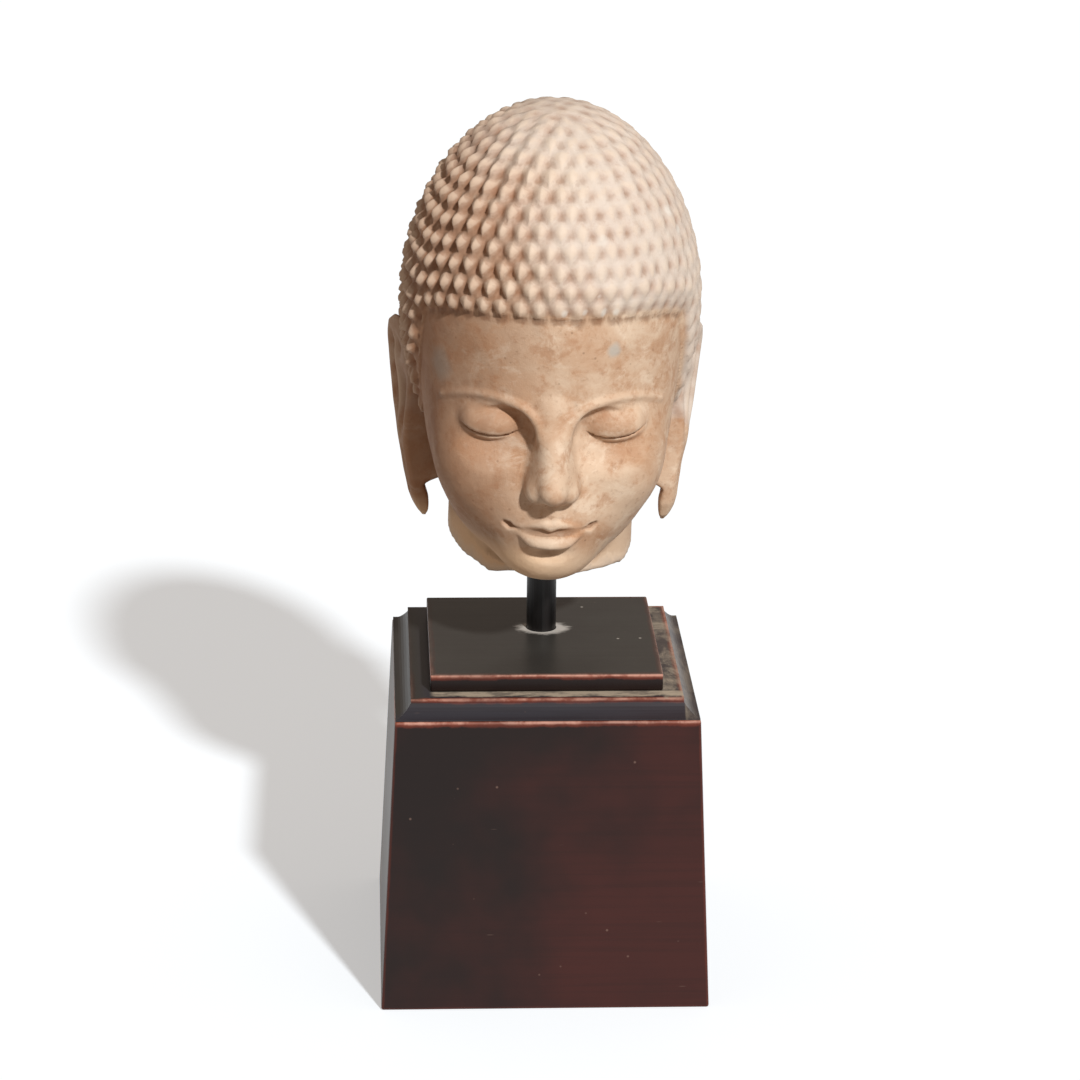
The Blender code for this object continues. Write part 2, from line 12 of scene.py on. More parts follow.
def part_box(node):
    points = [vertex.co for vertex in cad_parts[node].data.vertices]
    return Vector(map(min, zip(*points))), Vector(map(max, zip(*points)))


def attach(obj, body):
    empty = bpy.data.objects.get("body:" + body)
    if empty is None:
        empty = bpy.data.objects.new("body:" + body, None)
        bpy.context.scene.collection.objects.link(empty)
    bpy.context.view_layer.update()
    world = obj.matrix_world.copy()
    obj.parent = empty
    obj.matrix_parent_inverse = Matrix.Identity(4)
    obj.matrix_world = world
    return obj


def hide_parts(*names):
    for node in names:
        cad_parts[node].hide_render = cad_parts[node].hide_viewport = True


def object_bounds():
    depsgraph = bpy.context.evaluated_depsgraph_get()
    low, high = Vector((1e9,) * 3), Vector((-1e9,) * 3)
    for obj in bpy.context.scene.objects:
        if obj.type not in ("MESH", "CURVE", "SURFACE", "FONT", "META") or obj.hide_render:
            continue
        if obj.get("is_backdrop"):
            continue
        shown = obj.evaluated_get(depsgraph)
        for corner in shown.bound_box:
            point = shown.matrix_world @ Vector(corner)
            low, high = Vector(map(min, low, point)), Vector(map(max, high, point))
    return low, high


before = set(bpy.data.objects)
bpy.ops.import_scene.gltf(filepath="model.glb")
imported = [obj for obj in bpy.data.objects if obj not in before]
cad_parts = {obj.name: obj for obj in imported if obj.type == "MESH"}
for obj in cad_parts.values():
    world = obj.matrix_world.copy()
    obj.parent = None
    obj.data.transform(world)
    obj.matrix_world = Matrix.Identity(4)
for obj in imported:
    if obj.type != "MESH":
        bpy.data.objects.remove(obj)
cad_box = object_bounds()
bpy.ops.object.select_all(action="DESELECT")
print("CAD box", cad_box)

# %% [markdown]
# The camera stands about 1.9 m in front of the stand, a little above the crown, and looks down at
# 19 degrees through a long lens. A long lens keeps the stand's upright edges nearly parallel.

# %% Camera
CAMERA_PLACE = Vector((-0.09455, -1.88836, 0.87362))
CAMERA_YAW = math.radians(-2.82)
CAMERA_PITCH = math.radians(18.68)
CAMERA_ROLL = math.radians(0.68)
CAMERA_LENS = 124.28

backward = Vector((math.sin(CAMERA_YAW) * math.cos(CAMERA_PITCH),
                   -math.cos(CAMERA_YAW) * math.cos(CAMERA_PITCH), math.sin(CAMERA_PITCH)))
rightward = Vector((math.cos(CAMERA_YAW), math.sin(CAMERA_YAW), 0.0))
upward = backward.cross(rightward)
rolled_right = math.cos(CAMERA_ROLL) * rightward + math.sin(CAMERA_ROLL) * upward
rolled_up = math.cos(CAMERA_ROLL) * upward - math.sin(CAMERA_ROLL) * rightward

bpy.ops.object.camera_add()
camera = bpy.context.active_object
camera.name = "studio_camera"
camera.data.lens = CAMERA_LENS
camera.data.sensor_width = 36.0
turned = Matrix((rolled_right, rolled_up, backward)).transposed().to_4x4()
camera.matrix_world = Matrix.Translation(CAMERA_PLACE) @ turned
bpy.context.scene.camera = camera
print("camera", tuple(round(v, 3) for v in camera.location))

# %% [markdown]
# Node trees read more easily when one line adds a node and fills its inputs. The first helper fills
# inputs with numbers, colours or other nodes' outputs, the second adds a node, and the rest are
# short names for the nodes used most. They find the tree from the output that they are given.

# %% Node helpers
def feed(tree, item, feeds):
    pairs = feeds.items() if isinstance(feeds, dict) else enumerate(feeds)
    for key, value in pairs:
        if isinstance(value, bpy.types.NodeSocket):
            tree.links.new(value, item.inputs[key])
        else:
            item.inputs[key].default_value = value
    return item


def put(tree, kind, feeds=(), **options):
    item = tree.nodes.new(kind)
    for key, value in options.items():
        setattr(item, key, value)
    return feed(tree, item, feeds)


def calc(operation, *values):
    tree = next(value.id_data for value in values if isinstance(value, bpy.types.NodeSocket))
    return put(tree, "ShaderNodeMath", values, operation=operation).outputs[0]


def times(first, second, plus=0.0):
    return calc("MULTIPLY_ADD", first, second, plus)


def ease(value, low, high, start=0.0, end=1.0):
    """Smooth ramp: start below low, end above high."""
    feeds = (value, low, high, start, end)
    smooth = {"interpolation_type": "SMOOTHSTEP"}
    return put(value.id_data, "ShaderNodeMapRange", feeds, **smooth).outputs[0]


def clouds(where, scale, detail=4.0, roughness=0.55, distortion=0.0):
    feeds = {"Vector": where, "Scale": scale, "Detail": detail, "Roughness": roughness,
             "Distortion": distortion}
    return put(where.id_data, "ShaderNodeTexNoise", feeds).outputs["Fac"]


def mix(mask, first, second):
    feeds = {0: mask, 6: first, 7: second}
    return put(mask.id_data, "ShaderNodeMix", feeds, data_type="RGBA").outputs[2]


def stretched(where, scale, place=(0.0, 0.0, 0.0)):
    feeds = {"Vector": where, "Location": place, "Scale": scale}
    return put(where.id_data, "ShaderNodeMapping", feeds).outputs[0]


def axes_of(where):
    return put(where.id_data, "ShaderNodeSeparateXYZ", [where]).outputs


def vector_math(operation, first, second, result):
    return put(first.id_data, "ShaderNodeVectorMath", (first, second),
               operation=operation).outputs[result]


def first_of(color, channel=0):
    return put(color.id_data, "ShaderNodeSeparateColor", [color]).outputs[channel]


def srgb(red, green, blue):
    """A colour as a paint program writes it, 0 to 255, as Blender's linear colour."""
    parts = []
    for value in (red, green, blue):
        v = value / 255.0
        parts.append(v / 12.92 if v <= 0.04045 else ((v + 0.055) / 1.055) ** 2.4)
    return (*parts, 1.0)


def new_material(name):
    material = bpy.data.materials.new(name)
    material.use_nodes = True
    tree = material.node_tree
    return material, tree, tree.nodes["Principled BSDF"]


print("helpers ready")

# %% [markdown]
# The studio is a white floor that runs past the picture's edges, one soft key light high on the
# right, and an even pale sky that keeps the shaded side readable. The floor glows a little, as a
# white sweep lit from behind does, so the cast shadow stays light.

# %% Floor, key light and sky
FLOOR_SIZE = 120.0
FLOOR_GLOW = 0.41
FLOOR_PAINT = (0.66, 0.72, 0.78, 1.0)
KEY_SIDE = math.radians(22.0)
KEY_HEIGHT = math.radians(36.0)
KEY_SOFTNESS = math.radians(3.5)
KEY_STRENGTH = 3.3
KEY_COLOR = (1.0, 0.99, 0.97)
SKY_COLOR = (1.0, 0.83, 0.70, 1.0)
SKY_STRENGTH = 0.31

bpy.ops.mesh.primitive_plane_add(size=FLOOR_SIZE)
floor = bpy.context.active_object
floor.name = "studio_floor"
floor_paint, tree, shader = new_material("floor_paint")
feed(tree, shader, {"Base Color": FLOOR_PAINT, "Roughness": 1.0, "Specular IOR Level": 0.0,
                    "Emission Color": (1.0, 1.0, 1.0, 1.0), "Emission Strength": FLOOR_GLOW})
floor.data.materials.append(floor_paint)
floor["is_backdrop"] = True
floor.visible_diffuse = False

away = Vector((math.sin(KEY_SIDE) * math.cos(KEY_HEIGHT), -math.cos(KEY_SIDE) * math.cos(KEY_HEIGHT),
               math.sin(KEY_HEIGHT)))
bpy.ops.object.light_add(type="SUN", location=away * 2.0)
key = bpy.context.active_object
key.name = "key_light"
key.data.angle = KEY_SOFTNESS
key.data.energy = KEY_STRENGTH
key.data.color = KEY_COLOR
key.rotation_euler = away.to_track_quat("Z", "Y").to_euler()

world = bpy.data.worlds.new("studio_sky")
bpy.context.scene.world = world
world.use_nodes = True
sky = world.node_tree.nodes["Background"]
sky.inputs["Color"].default_value = SKY_COLOR
sky.inputs["Strength"].default_value = SKY_STRENGTH
bpy.context.scene.view_settings.view_transform = "Standard"
print("key light from", tuple(round(v, 2) for v in away))

# %% [markdown]
# The head is one block of stone. A sculptor first blocks out masses and then cuts features into
# them, and so does this: each form is a distance function, negative inside the stone, and forms are
# added or cut with a soft seam between them. Lengths are parts of a millimetre, with the chin at 0
# and the crown at 235, so the face follows a canon of plain proportions.

# %% Shape functions
PART = 0.001
EYE = 88.0
HAIRLINE = 148.5
CROWN = 235.0
EGG_CENTRE = np.array((0.0, 8.0, 132.0))
EGG_RADII = np.array((75.0, 88.0, 98.5))
NECK_CENTRE = 14.0
NECK_RADII = (49.5, 49.0)
NECK_END = -15.0


def ellipsoid(p, centre, radii):
    q = (p - np.array(centre)) / np.array(radii)
    k0 = np.sqrt((q * q).sum(1))
    q = q / np.array(radii)
    k1 = np.sqrt((q * q).sum(1))
    return k0 * (k0 - 1.0) / np.maximum(k1, 1e-9)


def tube(p, points, radii):
    points = np.array(points, float)
    radii = np.broadcast_to(np.array(radii, float), (len(points),))
    best = None
    for i in range(len(points) - 1):
        run = points[i + 1] - points[i]
        v = p - points[i]
        t = np.clip(v @ (run / (run @ run)), 0.0, 1.0)
        v = v - t[:, None] * run
        d = np.sqrt((v * v).sum(1)) - (radii[i] + (radii[i + 1] - radii[i]) * t)
        best = d if best is None else np.minimum(best, d)
    return best


def smooth_line(points, steps=4):
    p = np.array(points, float)
    q = np.vstack([2 * p[0] - p[1], p, 2 * p[-1] - p[-2]])
    line = []
    for i in range(1, len(q) - 2):
        a, b, c, d = q[i - 1:i + 3]
        for s in range(steps):
            t = s / steps
            line.append(0.5 * (2 * b + (c - a) * t + (2 * a - 5 * b + 4 * c - d) * t ** 2
                               + (3 * b - a - 3 * c + d) * t ** 3))
    line.append(q[-2])
    return np.array(line)


def add(a, b, blend):
    h = np.clip(0.5 + 0.5 * (b - a) / blend, 0.0, 1.0)
    return b * (1.0 - h) + a * h - blend * h * (1.0 - h)


def cut(a, b, blend):
    return -add(-a, b, blend)


def step(x, low, high):
    t = np.clip((x - low) / (high - low), 0.0, 1.0)
    return t * t * (3.0 - 2.0 * t)


def noise(p, size, seed):
    """Smooth lattice noise between -1 and 1."""
    q = p / size
    cell = np.floor(q).astype(np.int64)
    f = q - cell
    f = f * f * (3.0 - 2.0 * f)
    total = np.zeros(len(p))
    for corner in range(8):
        bit = np.array([(corner >> axis) & 1 for axis in range(3)])
        c = cell + bit
        h = (c[:, 0] * 73856093) ^ (c[:, 1] * 19349663) ^ (c[:, 2] * 83492791) ^ (seed * 2654435)
        h = (h ^ (h >> 13)) * 1274126177
        value = ((h ^ (h >> 16)) & 0xFFFF) / 32767.5 - 1.0
        total += value * np.prod(np.where(bit, f, 1.0 - f), axis=1)
    return total


print("shape functions ready")

# %% [markdown]
# Skull, cheeks, jaw and the neck's stump are eggs of different sizes. The neck ends in a break: a
# few flat flakes at different slopes, as stone splits, with some grain over them.

# %% Masses of the head
BREAK_SOFTNESS = 1.6
FLAKES = ((0, 0, 0, 0.00, 0.00), (42, -10, 1.5, 0.30, 0.05), (-42, -10, 7.5, -0.38, 0.00),
          (5, -34, 2.0, 0.04, -0.26), (-20, 44, 1.0, -0.12, 0.22), (26, 40, 2.5, 0.16, 0.18))


def mirrored(p):
    """The same points with both halves of the head laid on the right one."""
    m = p.copy()
    m[:, 0] = np.abs(m[:, 0])
    return m


def neck_break(p):
    height = np.full(len(p), -1e9)
    for x, y, rise, slope_x, slope_y in FLAKES:
        plane = rise + slope_x * (p[:, 0] - x) + slope_y * (p[:, 1] - NECK_CENTRE - y)
        height = np.maximum(height, plane)
    flat = p * (1.0, 1.0, 0.0)
    return NECK_END + height + 1.4 * noise(flat, 15.0, 5) + 0.4 * noise(flat, 7.0, 6)


def masses(p):
    m = mirrored(p)
    d = ellipsoid(m, (0, 8, 129), (72.8, 86, 99.8))
    d = add(d, ellipsoid(m, (0, -16, 84), (65, 62, 84)), 8)
    d = add(d, ellipsoid(m, (0, -28, 44), (50, 48, 45)), 12)
    d = add(d, ellipsoid(m, (32, -46, 62), (25, 25, 27)), 14)
    d = add(d, ellipsoid(m, (0, -50, 38), (32, 30, 25)), 14)
    d = add(d, ellipsoid(m, (0, -55, 14), (22, 21, 15)), 13)
    round_neck = np.hypot(m[:, 0] / NECK_RADII[0], (m[:, 1] - NECK_CENTRE) / NECK_RADII[1])
    stump = np.maximum((round_neck - 1.0) * NECK_RADII[0], m[:, 2] - 60.0)
    stump = stump + 0.8 * noise(p, 14.0, 9) * step(-m[:, 2], 0.0, 12.0)
    stump = cut(stump, p[:, 2] - neck_break(p), BREAK_SOFTNESS)
    return add(d, stump, 8)


# %% [markdown]
# The features are worked on one half and mirrored: the eye's hollow, the brow's arc, the nose as a
# wedge with wings, a lowered lid over the eye's ball, and two lips with a seam between them.

# %% Features of the face
def eye_and_brow(m, d):
    x, z = m[:, 0], m[:, 2]
    blend = 1.0 + 8.0 * np.maximum(step(-z, -(EYE + 2), -(EYE - 12)), step(-x, -15.0, -9.0))
    d = cut(d, ellipsoid(m, (32, -81, 86), (28.5, 16.5, 18)), blend)
    brow = smooth_line([(56, -46.5, 96), (45, -59.5, 102), (31, -69.5, 104), (17, -75.8, 101),
                        (9.5, -78.3, 94.5), (6.0, -80.2, 87)])
    d = add(d, tube(m, brow, np.linspace(0.8, 2.3, len(brow))), 3.0)
    return add(d, ellipsoid(m, (0, -71.5, 95), (11.5, 9.2, 12)), 5.0)


def nose(m, d):
    ridge = [(0, -71, 101), (0, -79, 86), (0, -87, 70), (0, -92.0, 61)]
    d = add(d, tube(m, ridge, [5.2, 5.4, 6.0, 7.0]), 6.0)
    d = add(d, ellipsoid(m, (0, -75.0, 71), (10.0, 13.0, 19)), 6.0)
    d = add(d, ellipsoid(m, (8.4, -81.5, 57.4), (5.4, 9.0, 5.8)), 4.5)
    d = add(d, ellipsoid(m, (0, -79, 63), (11.0, 13, 12)), 6.0)
    return cut(d, ellipsoid(m, (5.0, -90, 50.4), (2.9, 5.0, 2.2)), 1.0)


def lid(m, d):
    x, z = m[:, 0], m[:, 2]
    line = 83.5 + 0.011 * (x - 30) ** 2 + 0.05 * (x - 30)
    edge = 1.2 * step(z - line, -0.4, 0.4) - 1.3 * np.exp(-((z - line + 0.7) / 0.8) ** 2)
    edge = edge + 0.5 * np.exp(-((z - line + 3.4) / 1.5) ** 2)
    edge = edge * step(x, 13, 18) * step(-x, -49, -43)
    return add(d, ellipsoid(m, (31, -55, 88), (18, 16.5, 12)) - edge, 1.6)


def mouth(m, d):
    d = cut(d, tube(m, [(0, -83.5, 49), (0, -85, 42)], [2.0, 2.8]), 2.5)
    upper = smooth_line([(19.5, -73.6, 35.8), (13.5, -78.0, 36.8), (8.0, -81.0, 38.6),
                         (3.2, -82.6, 39.6), (0, -82.0, 38.6)])
    d = add(d, tube(m, upper, np.linspace(0.9, 3.4, len(upper))), 1.4)
    lower = smooth_line([(18, -73.8, 33.4), (12, -78.0, 30.4), (6.5, -80.4, 28.6), (0, -81.2, 28.2)])
    swell = 1.0 + 3.6 * np.sin(np.linspace(0.0, math.pi / 2.0, len(lower)))
    d = add(d, tube(m, lower, swell), 1.4)
    seam = smooth_line([(20.5, -75.2, 35.6), (14.5, -80.4, 34.2), (8, -84.4, 34.0),
                        (3.5, -85.8, 33.8), (0, -85.7, 33.2)])
    d = cut(d, tube(m, seam, 1.0), 0.8)
    d = cut(d, tube(m, [(21.0, -75.0, 35.9), (23.0, -74.2, 37.0)], [1.7, 0.9]), 2.2)
    return cut(d, ellipsoid(m, (0, -82.0, 20.5), (15, 6.5, 4.2)), 4.0)


def head_form(p):
    d = masses(p)
    m = mirrored(p)
    in_front = (m[:, 1] < -40) & (m[:, 0] < 64)
    face_high = (m[:, 2] > -2) & (m[:, 2] < 122)
    near = np.where(in_front & face_high & (np.abs(d) < 30))[0]
    if len(near):
        half = m[near]
        d[near] = mouth(half, lid(half, nose(half, eye_and_brow(half, d[near]))))
    return d


print("face ready")

# %% [markdown]
# The curls stand in staggered rows round the skull. Each row is walked at an even pace, so the
# spacing stays the same from the hairline to the crown, and a small seeded shake keeps the hand
# of the carver in it.

# %% Rows of curls
CURL_PITCH = 10.1
CURL_ROW = 9.6
CURL_HEIGHT = 4.6
HAIR_DEPTH = 2.6
HAIR_ARM = 72.0
EDGE_PITCH = 2.0
CURL_SEED = 3


def row_sag(turn):
    """How far a row of curls dips toward the temples, for an angle round the head in degrees."""
    turns = (0.0, 20.0, 38.0, 50.0, 58.0, 65.0)
    return np.interp(np.abs(turn), turns, (0.0, 0.5, 3.0, 6.0, 9.0, 13.0))


def hairline(turn):
    """Height where the hair ends, for an angle round the head in degrees from the face."""
    turns = (65.0, 69.0, 73.0, 78.0, 85.0, 93.0, 112.0, 180.0)
    drops = (0.0, 14.0, 30.0, 47.0, 61.0, 73.0, 94.0, 95.0)
    return HAIRLINE - row_sag(turn) - np.interp(np.abs(turn), turns, drops)


def turn_of(p):
    return np.degrees(np.arctan2(p[:, 0], -p[:, 1]))


def from_edge(turn, height):
    """Distance from the hairline, positive in the hair."""
    fine = np.linspace(-180.0, 180.0, 2881)
    sweep = np.stack([np.radians(fine) * HAIR_ARM, hairline(fine)], 1)
    walk = np.concatenate([[0.0], np.cumsum(np.linalg.norm(np.diff(sweep, axis=0), axis=1))])
    stops = np.arange(0.0, walk[-1], EDGE_PITCH)
    line = np.stack([np.interp(stops, walk, sweep[:, 0]), np.interp(stops, walk, sweep[:, 1])], 1)
    tree = kdtree.KDTree(len(line))
    for i, (x, z) in enumerate(line):
        tree.insert((x, 0.0, z), i)
    tree.balance()
    flat = np.radians(turn) * HAIR_ARM
    gap = np.array([tree.find((x, 0.0, z))[2] for x, z in zip(flat, height)])
    return np.where(height > hairline(turn), gap, -gap)


def curl_centres():
    rng = np.random.default_rng(CURL_SEED)
    a, b, c = EGG_RADII
    girth = (a + b) / 2
    lat = np.linspace(-np.pi / 2, np.pi / 2, 4001)
    pace = np.hypot(girth * np.sin(lat), c * np.cos(lat))
    run = np.concatenate([[0.0], np.cumsum((pace[1:] + pace[:-1]) / 2 * np.diff(lat))])
    first = np.interp(math.asin((HAIRLINE + 4.0 - EGG_CENTRE[2]) / c), lat, run)
    rows = first + CURL_ROW * np.arange(-30, 40)
    rows = rows[(rows > 0.0) & (rows < run[-1] - CURL_ROW * 0.3)]
    found = []
    for k, beta in enumerate(np.interp(rows, run, lat)):
        ra, rb = a * math.cos(beta), b * math.cos(beta)
        t = np.linspace(0.0, 2.0 * np.pi, 721)
        side, depth = ra * np.sin(t), -rb * np.cos(t)
        walk = np.concatenate([[0.0], np.cumsum(np.hypot(np.diff(side), np.diff(depth)))])
        count = max(1, round(walk[-1] / CURL_PITCH))
        for u in np.interp((np.arange(count) + 0.5 * (k % 2)) / count * walk[-1], walk, t):
            found.append((ra * math.sin(u), -rb * math.cos(u), c * math.sin(beta)))
    found = np.array(found) + EGG_CENTRE
    below_crown = np.clip((CROWN - found[:, 2]) / (CROWN - HAIRLINE), 0.0, 1.0)
    found[:, 2] -= row_sag(turn_of(found)) * below_crown
    found = found + rng.normal(0.0, 0.35, found.shape)
    return found[from_edge(turn_of(found), found[:, 2]) > 3.4]


print("curls", len(curl_centres()))

# %% [markdown]
# A ray is sent out from a short upright axis inside the head for every vertex of a sphere, and the
# vertex moves to where the ray meets the stone. The sphere's rows and columns are drawn together
# over the face first, where the carving is finest.

# %% Rays to the surface
AXIS_LOW = 40.0
AXIS_HIGH = 135.0
AXIS_BAND = 35.0


def to_map(p):
    reach = np.hypot(p[:, 0], p[:, 1])
    middle = ((p[:, 2] - AXIS_LOW) / (AXIS_HIGH - AXIS_LOW) * 2.0 - 1.0) * AXIS_BAND
    above = AXIS_BAND + np.degrees(np.arctan2(p[:, 2] - AXIS_HIGH, reach)) / 90.0 * (90.0 - AXIS_BAND)
    below = -AXIS_BAND + np.degrees(np.arctan2(p[:, 2] - AXIS_LOW, reach)) / 90.0 * (90.0 - AXIS_BAND)
    level = np.where(p[:, 2] > AXIS_HIGH, above, np.where(p[:, 2] < AXIS_LOW, below, middle))
    return np.radians(turn_of(p)), np.radians(level)


def rays(turn, level):
    degrees = np.degrees(level)
    share = np.clip((degrees + AXIS_BAND) / (2.0 * AXIS_BAND), 0.0, 1.0)
    tilt = np.sign(degrees) * np.clip(np.abs(degrees) - AXIS_BAND, 0.0, 90.0) / (90.0 - AXIS_BAND)
    tilt = tilt * math.pi / 2.0
    way = np.stack([np.sin(turn) * np.cos(tilt), -np.cos(turn) * np.cos(tilt), np.sin(tilt)], 1)
    start = np.zeros_like(way)
    start[:, 2] = AXIS_LOW + (AXIS_HIGH - AXIS_LOW) * share
    return start, way


def reach_surface(form, turn, level, reach, rounds=60, near=0.02):
    start, way = rays(turn, level)
    reach = reach.copy()
    live = np.arange(len(way))
    for _ in range(rounds):
        d = form(start[live] + way[live] * reach[live, None])
        reach[live] -= d * 0.8
        live = live[np.abs(d) > near]
        if not len(live):
            break
    return start + way * reach[:, None]


def surface(turn, level):
    start, way = rays(turn, level)
    rough = reach_surface(masses, turn, level, np.full(len(turn), 125.0), 50, 0.2)
    reach = ((rough - start) * way).sum(1)
    front = (np.cos(turn) > 0.3) & (rough[:, 2] > 0) & (rough[:, 2] < 120)
    return reach_surface(head_form, turn, level, reach + np.where(front, 26.0, 6.0))


print("rays ready")

# %% [markdown]
# The sphere becomes the head here. After the rays have placed the vertices, a few rounds of
# relaxing slide them along the surface, so steep places such as the underside of the nose get
# their share of vertices.

# %% Head from a sphere
HEAD_COLUMNS = 560
HEAD_ROWS = 330
FRONT_PULL = 0.42
RELAX_ROUNDS = 6


def coords(mesh):
    flat = np.empty(len(mesh.vertices) * 3)
    mesh.vertices.foreach_get("co", flat)
    return flat.reshape(-1, 3)


def normals(mesh):
    flat = np.empty(len(mesh.vertices) * 3)
    mesh.vertex_normals.foreach_get("vector", flat)
    return flat.reshape(-1, 3)


def set_coords(mesh, points):
    mesh.vertices.foreach_set("co", points.ravel())
    mesh.update()


def edge_pairs(mesh):
    flat = np.empty(len(mesh.edges) * 2, int)
    mesh.edges.foreach_get("vertices", flat)
    return flat.reshape(-1, 2)


def neighbour_mean(points, pairs):
    total = np.zeros_like(points)
    count = np.bincount(pairs.ravel(), minlength=len(points))
    for axis in range(points.shape[1]):
        total[:, axis] = (np.bincount(pairs[:, 0], points[pairs[:, 1], axis], len(points))
                          + np.bincount(pairs[:, 1], points[pairs[:, 0], axis], len(points)))
    return total / count[:, None]


def even_levels(level):
    """Levels of the sphere drawn together over the face's height."""
    grid = np.radians(np.linspace(-90.0, 90.0, 721))
    degrees = np.degrees(grid)
    over_face = step(degrees, -56.0, -46.0) - step(degrees, 14.0, 26.0)
    weight = 0.55 + over_face + 0.25 * np.cos(grid)
    run = np.concatenate([[0.0], np.cumsum((weight[1:] + weight[:-1]) / 2.0)])
    share = run / run[-1] * math.pi - math.pi / 2.0
    return np.interp(level, share, grid)


bpy.ops.mesh.primitive_uv_sphere_add(segments=HEAD_COLUMNS, ring_count=HEAD_ROWS, radius=1.0)
head = bpy.context.active_object
head.name = "carved_head"
ball = coords(head.data)
turn = np.arctan2(ball[:, 0], -ball[:, 1])
turn = turn - FRONT_PULL * np.sin(turn)
level = even_levels(np.arcsin(np.clip(ball[:, 2], -1.0, 1.0)))
points = surface(turn, level)
pairs = edge_pairs(head.data)
set_coords(head.data, points)
for _ in range(RELAX_ROUNDS):
    out = normals(head.data)
    slide = neighbour_mean(points, pairs) - points
    slide = slide - (slide * out).sum(1)[:, None] * out
    points = points + 0.6 * slide
    points = points - out * np.clip(head_form(points), -1.0, 1.0)[:, None] * 0.9
    set_coords(head.data, points)
print("head vertices", len(points))

# %% [markdown]
# Each curl is a small spike that leans down: a kite in outline, with two broad upper facets that
# catch the light and two short steep ones under its tip. A pit was sunk between each curl and the
# next in its row. Hands have rubbed the crown and the right side, so the points there are blunter.

# %% Raise the curls
CURL_REACH = 6.4
CURL_ROUND = 0.30
KITE_HALF_WIDTH = 6.0
KITE_TOP = 6.8
KITE_WAIST = 1.2
KITE_FOOT = 5.8
CURL_TIP = 1.8
FILL_HEIGHT = 3.2
PIT_DEPTH = 2.0
PIT_RADIUS = 2.7
PIT_REACH = 86.0
RIM_LIFT = 1.0
RIM_WIDTH = 7.0
WEAR_SEED = 11
WORN_MIDDLE = 0.30
WORN_TO_RIGHT = 0.80
WORN_TO_CROWN = 0.50
WORN_HEIGHT = 152.0
WORN_RISE = 85.0


def worn_share(p):
    """How much a place of the hair is rubbed, from 0 on the left front to 1 at the upper right."""
    to_right = p[:, 0] / EGG_RADII[0]
    to_crown = (p[:, 2] - WORN_HEIGHT) / WORN_RISE
    score = WORN_MIDDLE + to_right * WORN_TO_RIGHT + to_crown * WORN_TO_CROWN
    score = score + 0.22 * noise(p, 24.0, 31)
    return step(score + 0.15 * step(p[:, 1], -10.0, 40.0), 0.0, 0.84)


def nearest(tree, spots, count):
    """Indices of the nearest curls of each spot, one row a spot."""
    return np.array([[hit[1] for hit in tree.find_n(spot, count)] for spot in spots])


def outward(p):
    way = p - EGG_CENTRE
    return way / np.linalg.norm(way, axis=1)[:, None]


def on_globe(p):
    """The same directions from the egg's centre, on one round globe."""
    return outward(p) * PIT_REACH


centres = curl_centres()
centre_turn, centre_level = to_map(centres)
centres = surface(centre_turn, centre_level)
out = outward(centres)
centres = centres + out * HAIR_DEPTH
upright = np.array((0.0, 0.0, 1.0)) - out * out[:, 2:3]
upright = upright / np.maximum(np.linalg.norm(upright, axis=1)[:, None], 0.3)
across = np.cross(upright, out)
pits = centres + across * CURL_PITCH / 2.0 - upright * 0.6
pick = np.random.default_rng(WEAR_SEED)
rubbed = worn_share(centres)
curl_size = pick.uniform(0.90, 1.06, len(centres)) * (1.0 - 0.70 * rubbed)
curl_cap = pick.uniform(0.84, 1.0, len(centres)) * (1.0 - 0.80 * rubbed)
curl_tree = kdtree.KDTree(len(centres))
pit_tree = kdtree.KDTree(len(pits))
for i, (centre, pit) in enumerate(zip(centres, on_globe(pits))):
    curl_tree.insert(centre, i)
    pit_tree.insert(pit, i)
curl_tree.balance()
pit_tree.balance()

hair = from_edge(turn_of(points), points[:, 2])
out = outward(points)
base = step(hair, -1.8, 1.6) * (RIM_LIFT + (HAIR_DEPTH - RIM_LIFT) * step(hair, 0.0, RIM_WIDTH))
inside = np.where(hair > 0.0)[0]
spots = points[inside] + out[inside] * base[inside, None]
shape = np.zeros(len(spots))
upper_tip = 1.0 + (KITE_WAIST + CURL_TIP) / (KITE_TOP - KITE_WAIST)
lower_tip = 1.0 - (KITE_WAIST + CURL_TIP) / (KITE_FOOT + KITE_WAIST)
for ids in nearest(curl_tree, spots, 4).T:
    gap = spots - centres[ids]
    side = np.abs((gap * across[ids]).sum(1)) / KITE_HALF_WIDTH
    rise = (gap * upright[ids]).sum(1)
    upper = (1.0 - side - (rise - KITE_WAIST) / (KITE_TOP - KITE_WAIST)) / upper_tip
    lower = (1.0 - side - (KITE_WAIST - rise) / (KITE_FOOT + KITE_WAIST)) / lower_tip
    spike = np.minimum(upper, lower)
    cone = 1.0 - np.sqrt((gap * gap).sum(1) + 0.6) / CURL_REACH
    one = (1.0 - CURL_ROUND) * spike + CURL_ROUND * cone
    shape = np.maximum(shape, np.minimum(one * 1.15 * curl_size[ids], curl_cap[ids]))
pit_gap = np.array([pit_tree.find(spot)[2] for spot in on_globe(spots)])
worn = worn_share(spots)
fill = FILL_HEIGHT * worn * step(hair[inside], 2.0, 14.0)
sunk = PIT_DEPTH * (1.0 - 0.55 * worn * (1.0 + 0.5 * noise(spots, 16.0, 33)))
sunk = sunk * np.exp(-(pit_gap / PIT_RADIUS) ** 2) * step(hair[inside], 1.0, 3.0)
shape = shape * CURL_HEIGHT - sunk
lift = np.zeros(len(points))
near_rim = (0.75 + 0.25 * step(hair[inside], 2.0, 14.0)) * step(hair[inside], 0.0, 1.2)
lift[inside] = shape * near_rim + fill
grain = 0.20 * noise(points, 17.0, 21) + 0.12 * noise(points, 6.0, 22) + 0.07 * noise(points, 2.6, 23)
points = points + out * (base + lift + grain)[:, None]
set_coords(head.data, points * PART)
